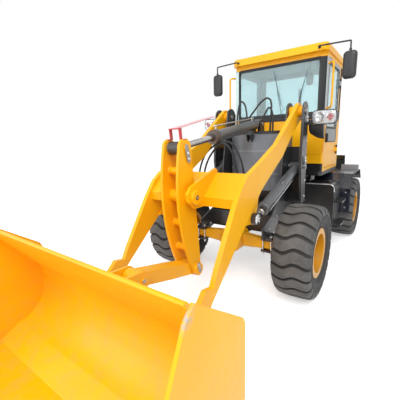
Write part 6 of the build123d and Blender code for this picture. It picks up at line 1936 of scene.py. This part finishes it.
def make_drive_shaft(name, body, end):
    """Shaft from an axle to the joint under the articulation pin."""
    hinge = Vector((PIVOT_X, 0, JOINT_Z))
    run = end - hinge
    way = run.normalized()
    shaft = Shape()
    shaft.turned([*SHAFT_START, *shifted(SHAFT_END, run.length)], hinge, run, 32)
    across = Y_AXIS if name == "front" else way.cross(Y_AXIS)
    for sign in HANDS:
        arm = across * 0.033 * sign
        shaft.bar(hinge + way * 0.055 + arm * 0.6, hinge + arm, 0.013, 14)
    shaft.bar(hinge - across * 0.036, hinge + across * 0.036, 0.012, 14)
    shaft.done(f"drive_shaft_{name}", body, "engine_grey")
    places = circle_places(end - way * 0.030, -way, 0.047, 4, 0.4)
    bolts(f"shaft_bolts_{name}", places, body, (0.007, 0.006, 0.001))


def make_underside():
    """Drive shafts, the articulation pin's cap, and the steering cylinders' hoses."""
    make_drive_shaft("front", FRONT_BODY, Vector((FRONT_X - 0.205, 0, AXLE_Z)))
    make_drive_shaft("rear", REAR_BODY, Vector((REAR_X + 0.212, 0, AXLE_Z)))
    caps = Shape()
    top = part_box("articulation_pins")[1][2]
    caps.plug(HINGE_CAP, (PIVOT_X, 0, top), Z_AXIS, 36)
    caps.done("hinge_pin_cap", REAR_BODY, "black_paint")
    places = circle_places((PIVOT_X, 0, top + 0.010), Z_AXIS, 0.036, 4, 0.4)
    bolts("hinge_cap_bolts", places, REAR_BODY, (0.008, 0.007, 0.002))
    for side, hand in SIDES:
        hose = Shape()
        along = Vector((0.900, hand * 0.100, 0)).normalized()
        port = Vector((PIVOT_X - STEER_BASE_BACK, hand * 0.230, 0.900)) + along * 0.10 + Z_AXIS * 0.036
        bends = ((0, 0, 0.030), (-0.06, hand * 0.02, 0.060), (-0.16, hand * 0.05, 0.050))
        tail = (PIVOT_X - 0.80, hand * 0.33, 0.96)
        hose.tube([port, *(port + Vector(bend) for bend in bends), tail], 0.009, 10)
        hose.done(f"steer_hose_{side}", REAR_BODY, "black_plastic", HOSE_RUBBER)


make_hood()
make_exhaust()
make_tail()
make_sides()
make_underside()


# ---------------------------------------------------------------- floor
FLOOR_HALF = 60.0
FLOOR_LIFT = 0.50


def make_floor():
    """Pale open floor: white where it is seen, like the sky."""
    mesh = bpy.data.meshes.new("floor")
    corners = rect(-FLOOR_HALF, -FLOOR_HALF, FLOOR_HALF, FLOOR_HALF)
    mesh.from_pydata([(x, y, 0) for x, y in corners], [], [(0, 1, 2, 3)])
    floor = link_object(bpy.data.objects.new("floor", mesh))
    f = Finish("pale_floor")
    f.put(Base_Color=f.mix(f.noise(0.6, 3.0), (0.90, 0.90, 0.90), (0.93, 0.93, 0.93)), Roughness=0.9)
    f.put(Emission_Color=(1, 1, 1, 1), Emission_Strength=f.math("MULTIPLY", f.seen(), FLOOR_LIFT))
    mesh.materials.append(f.material)


make_floor()
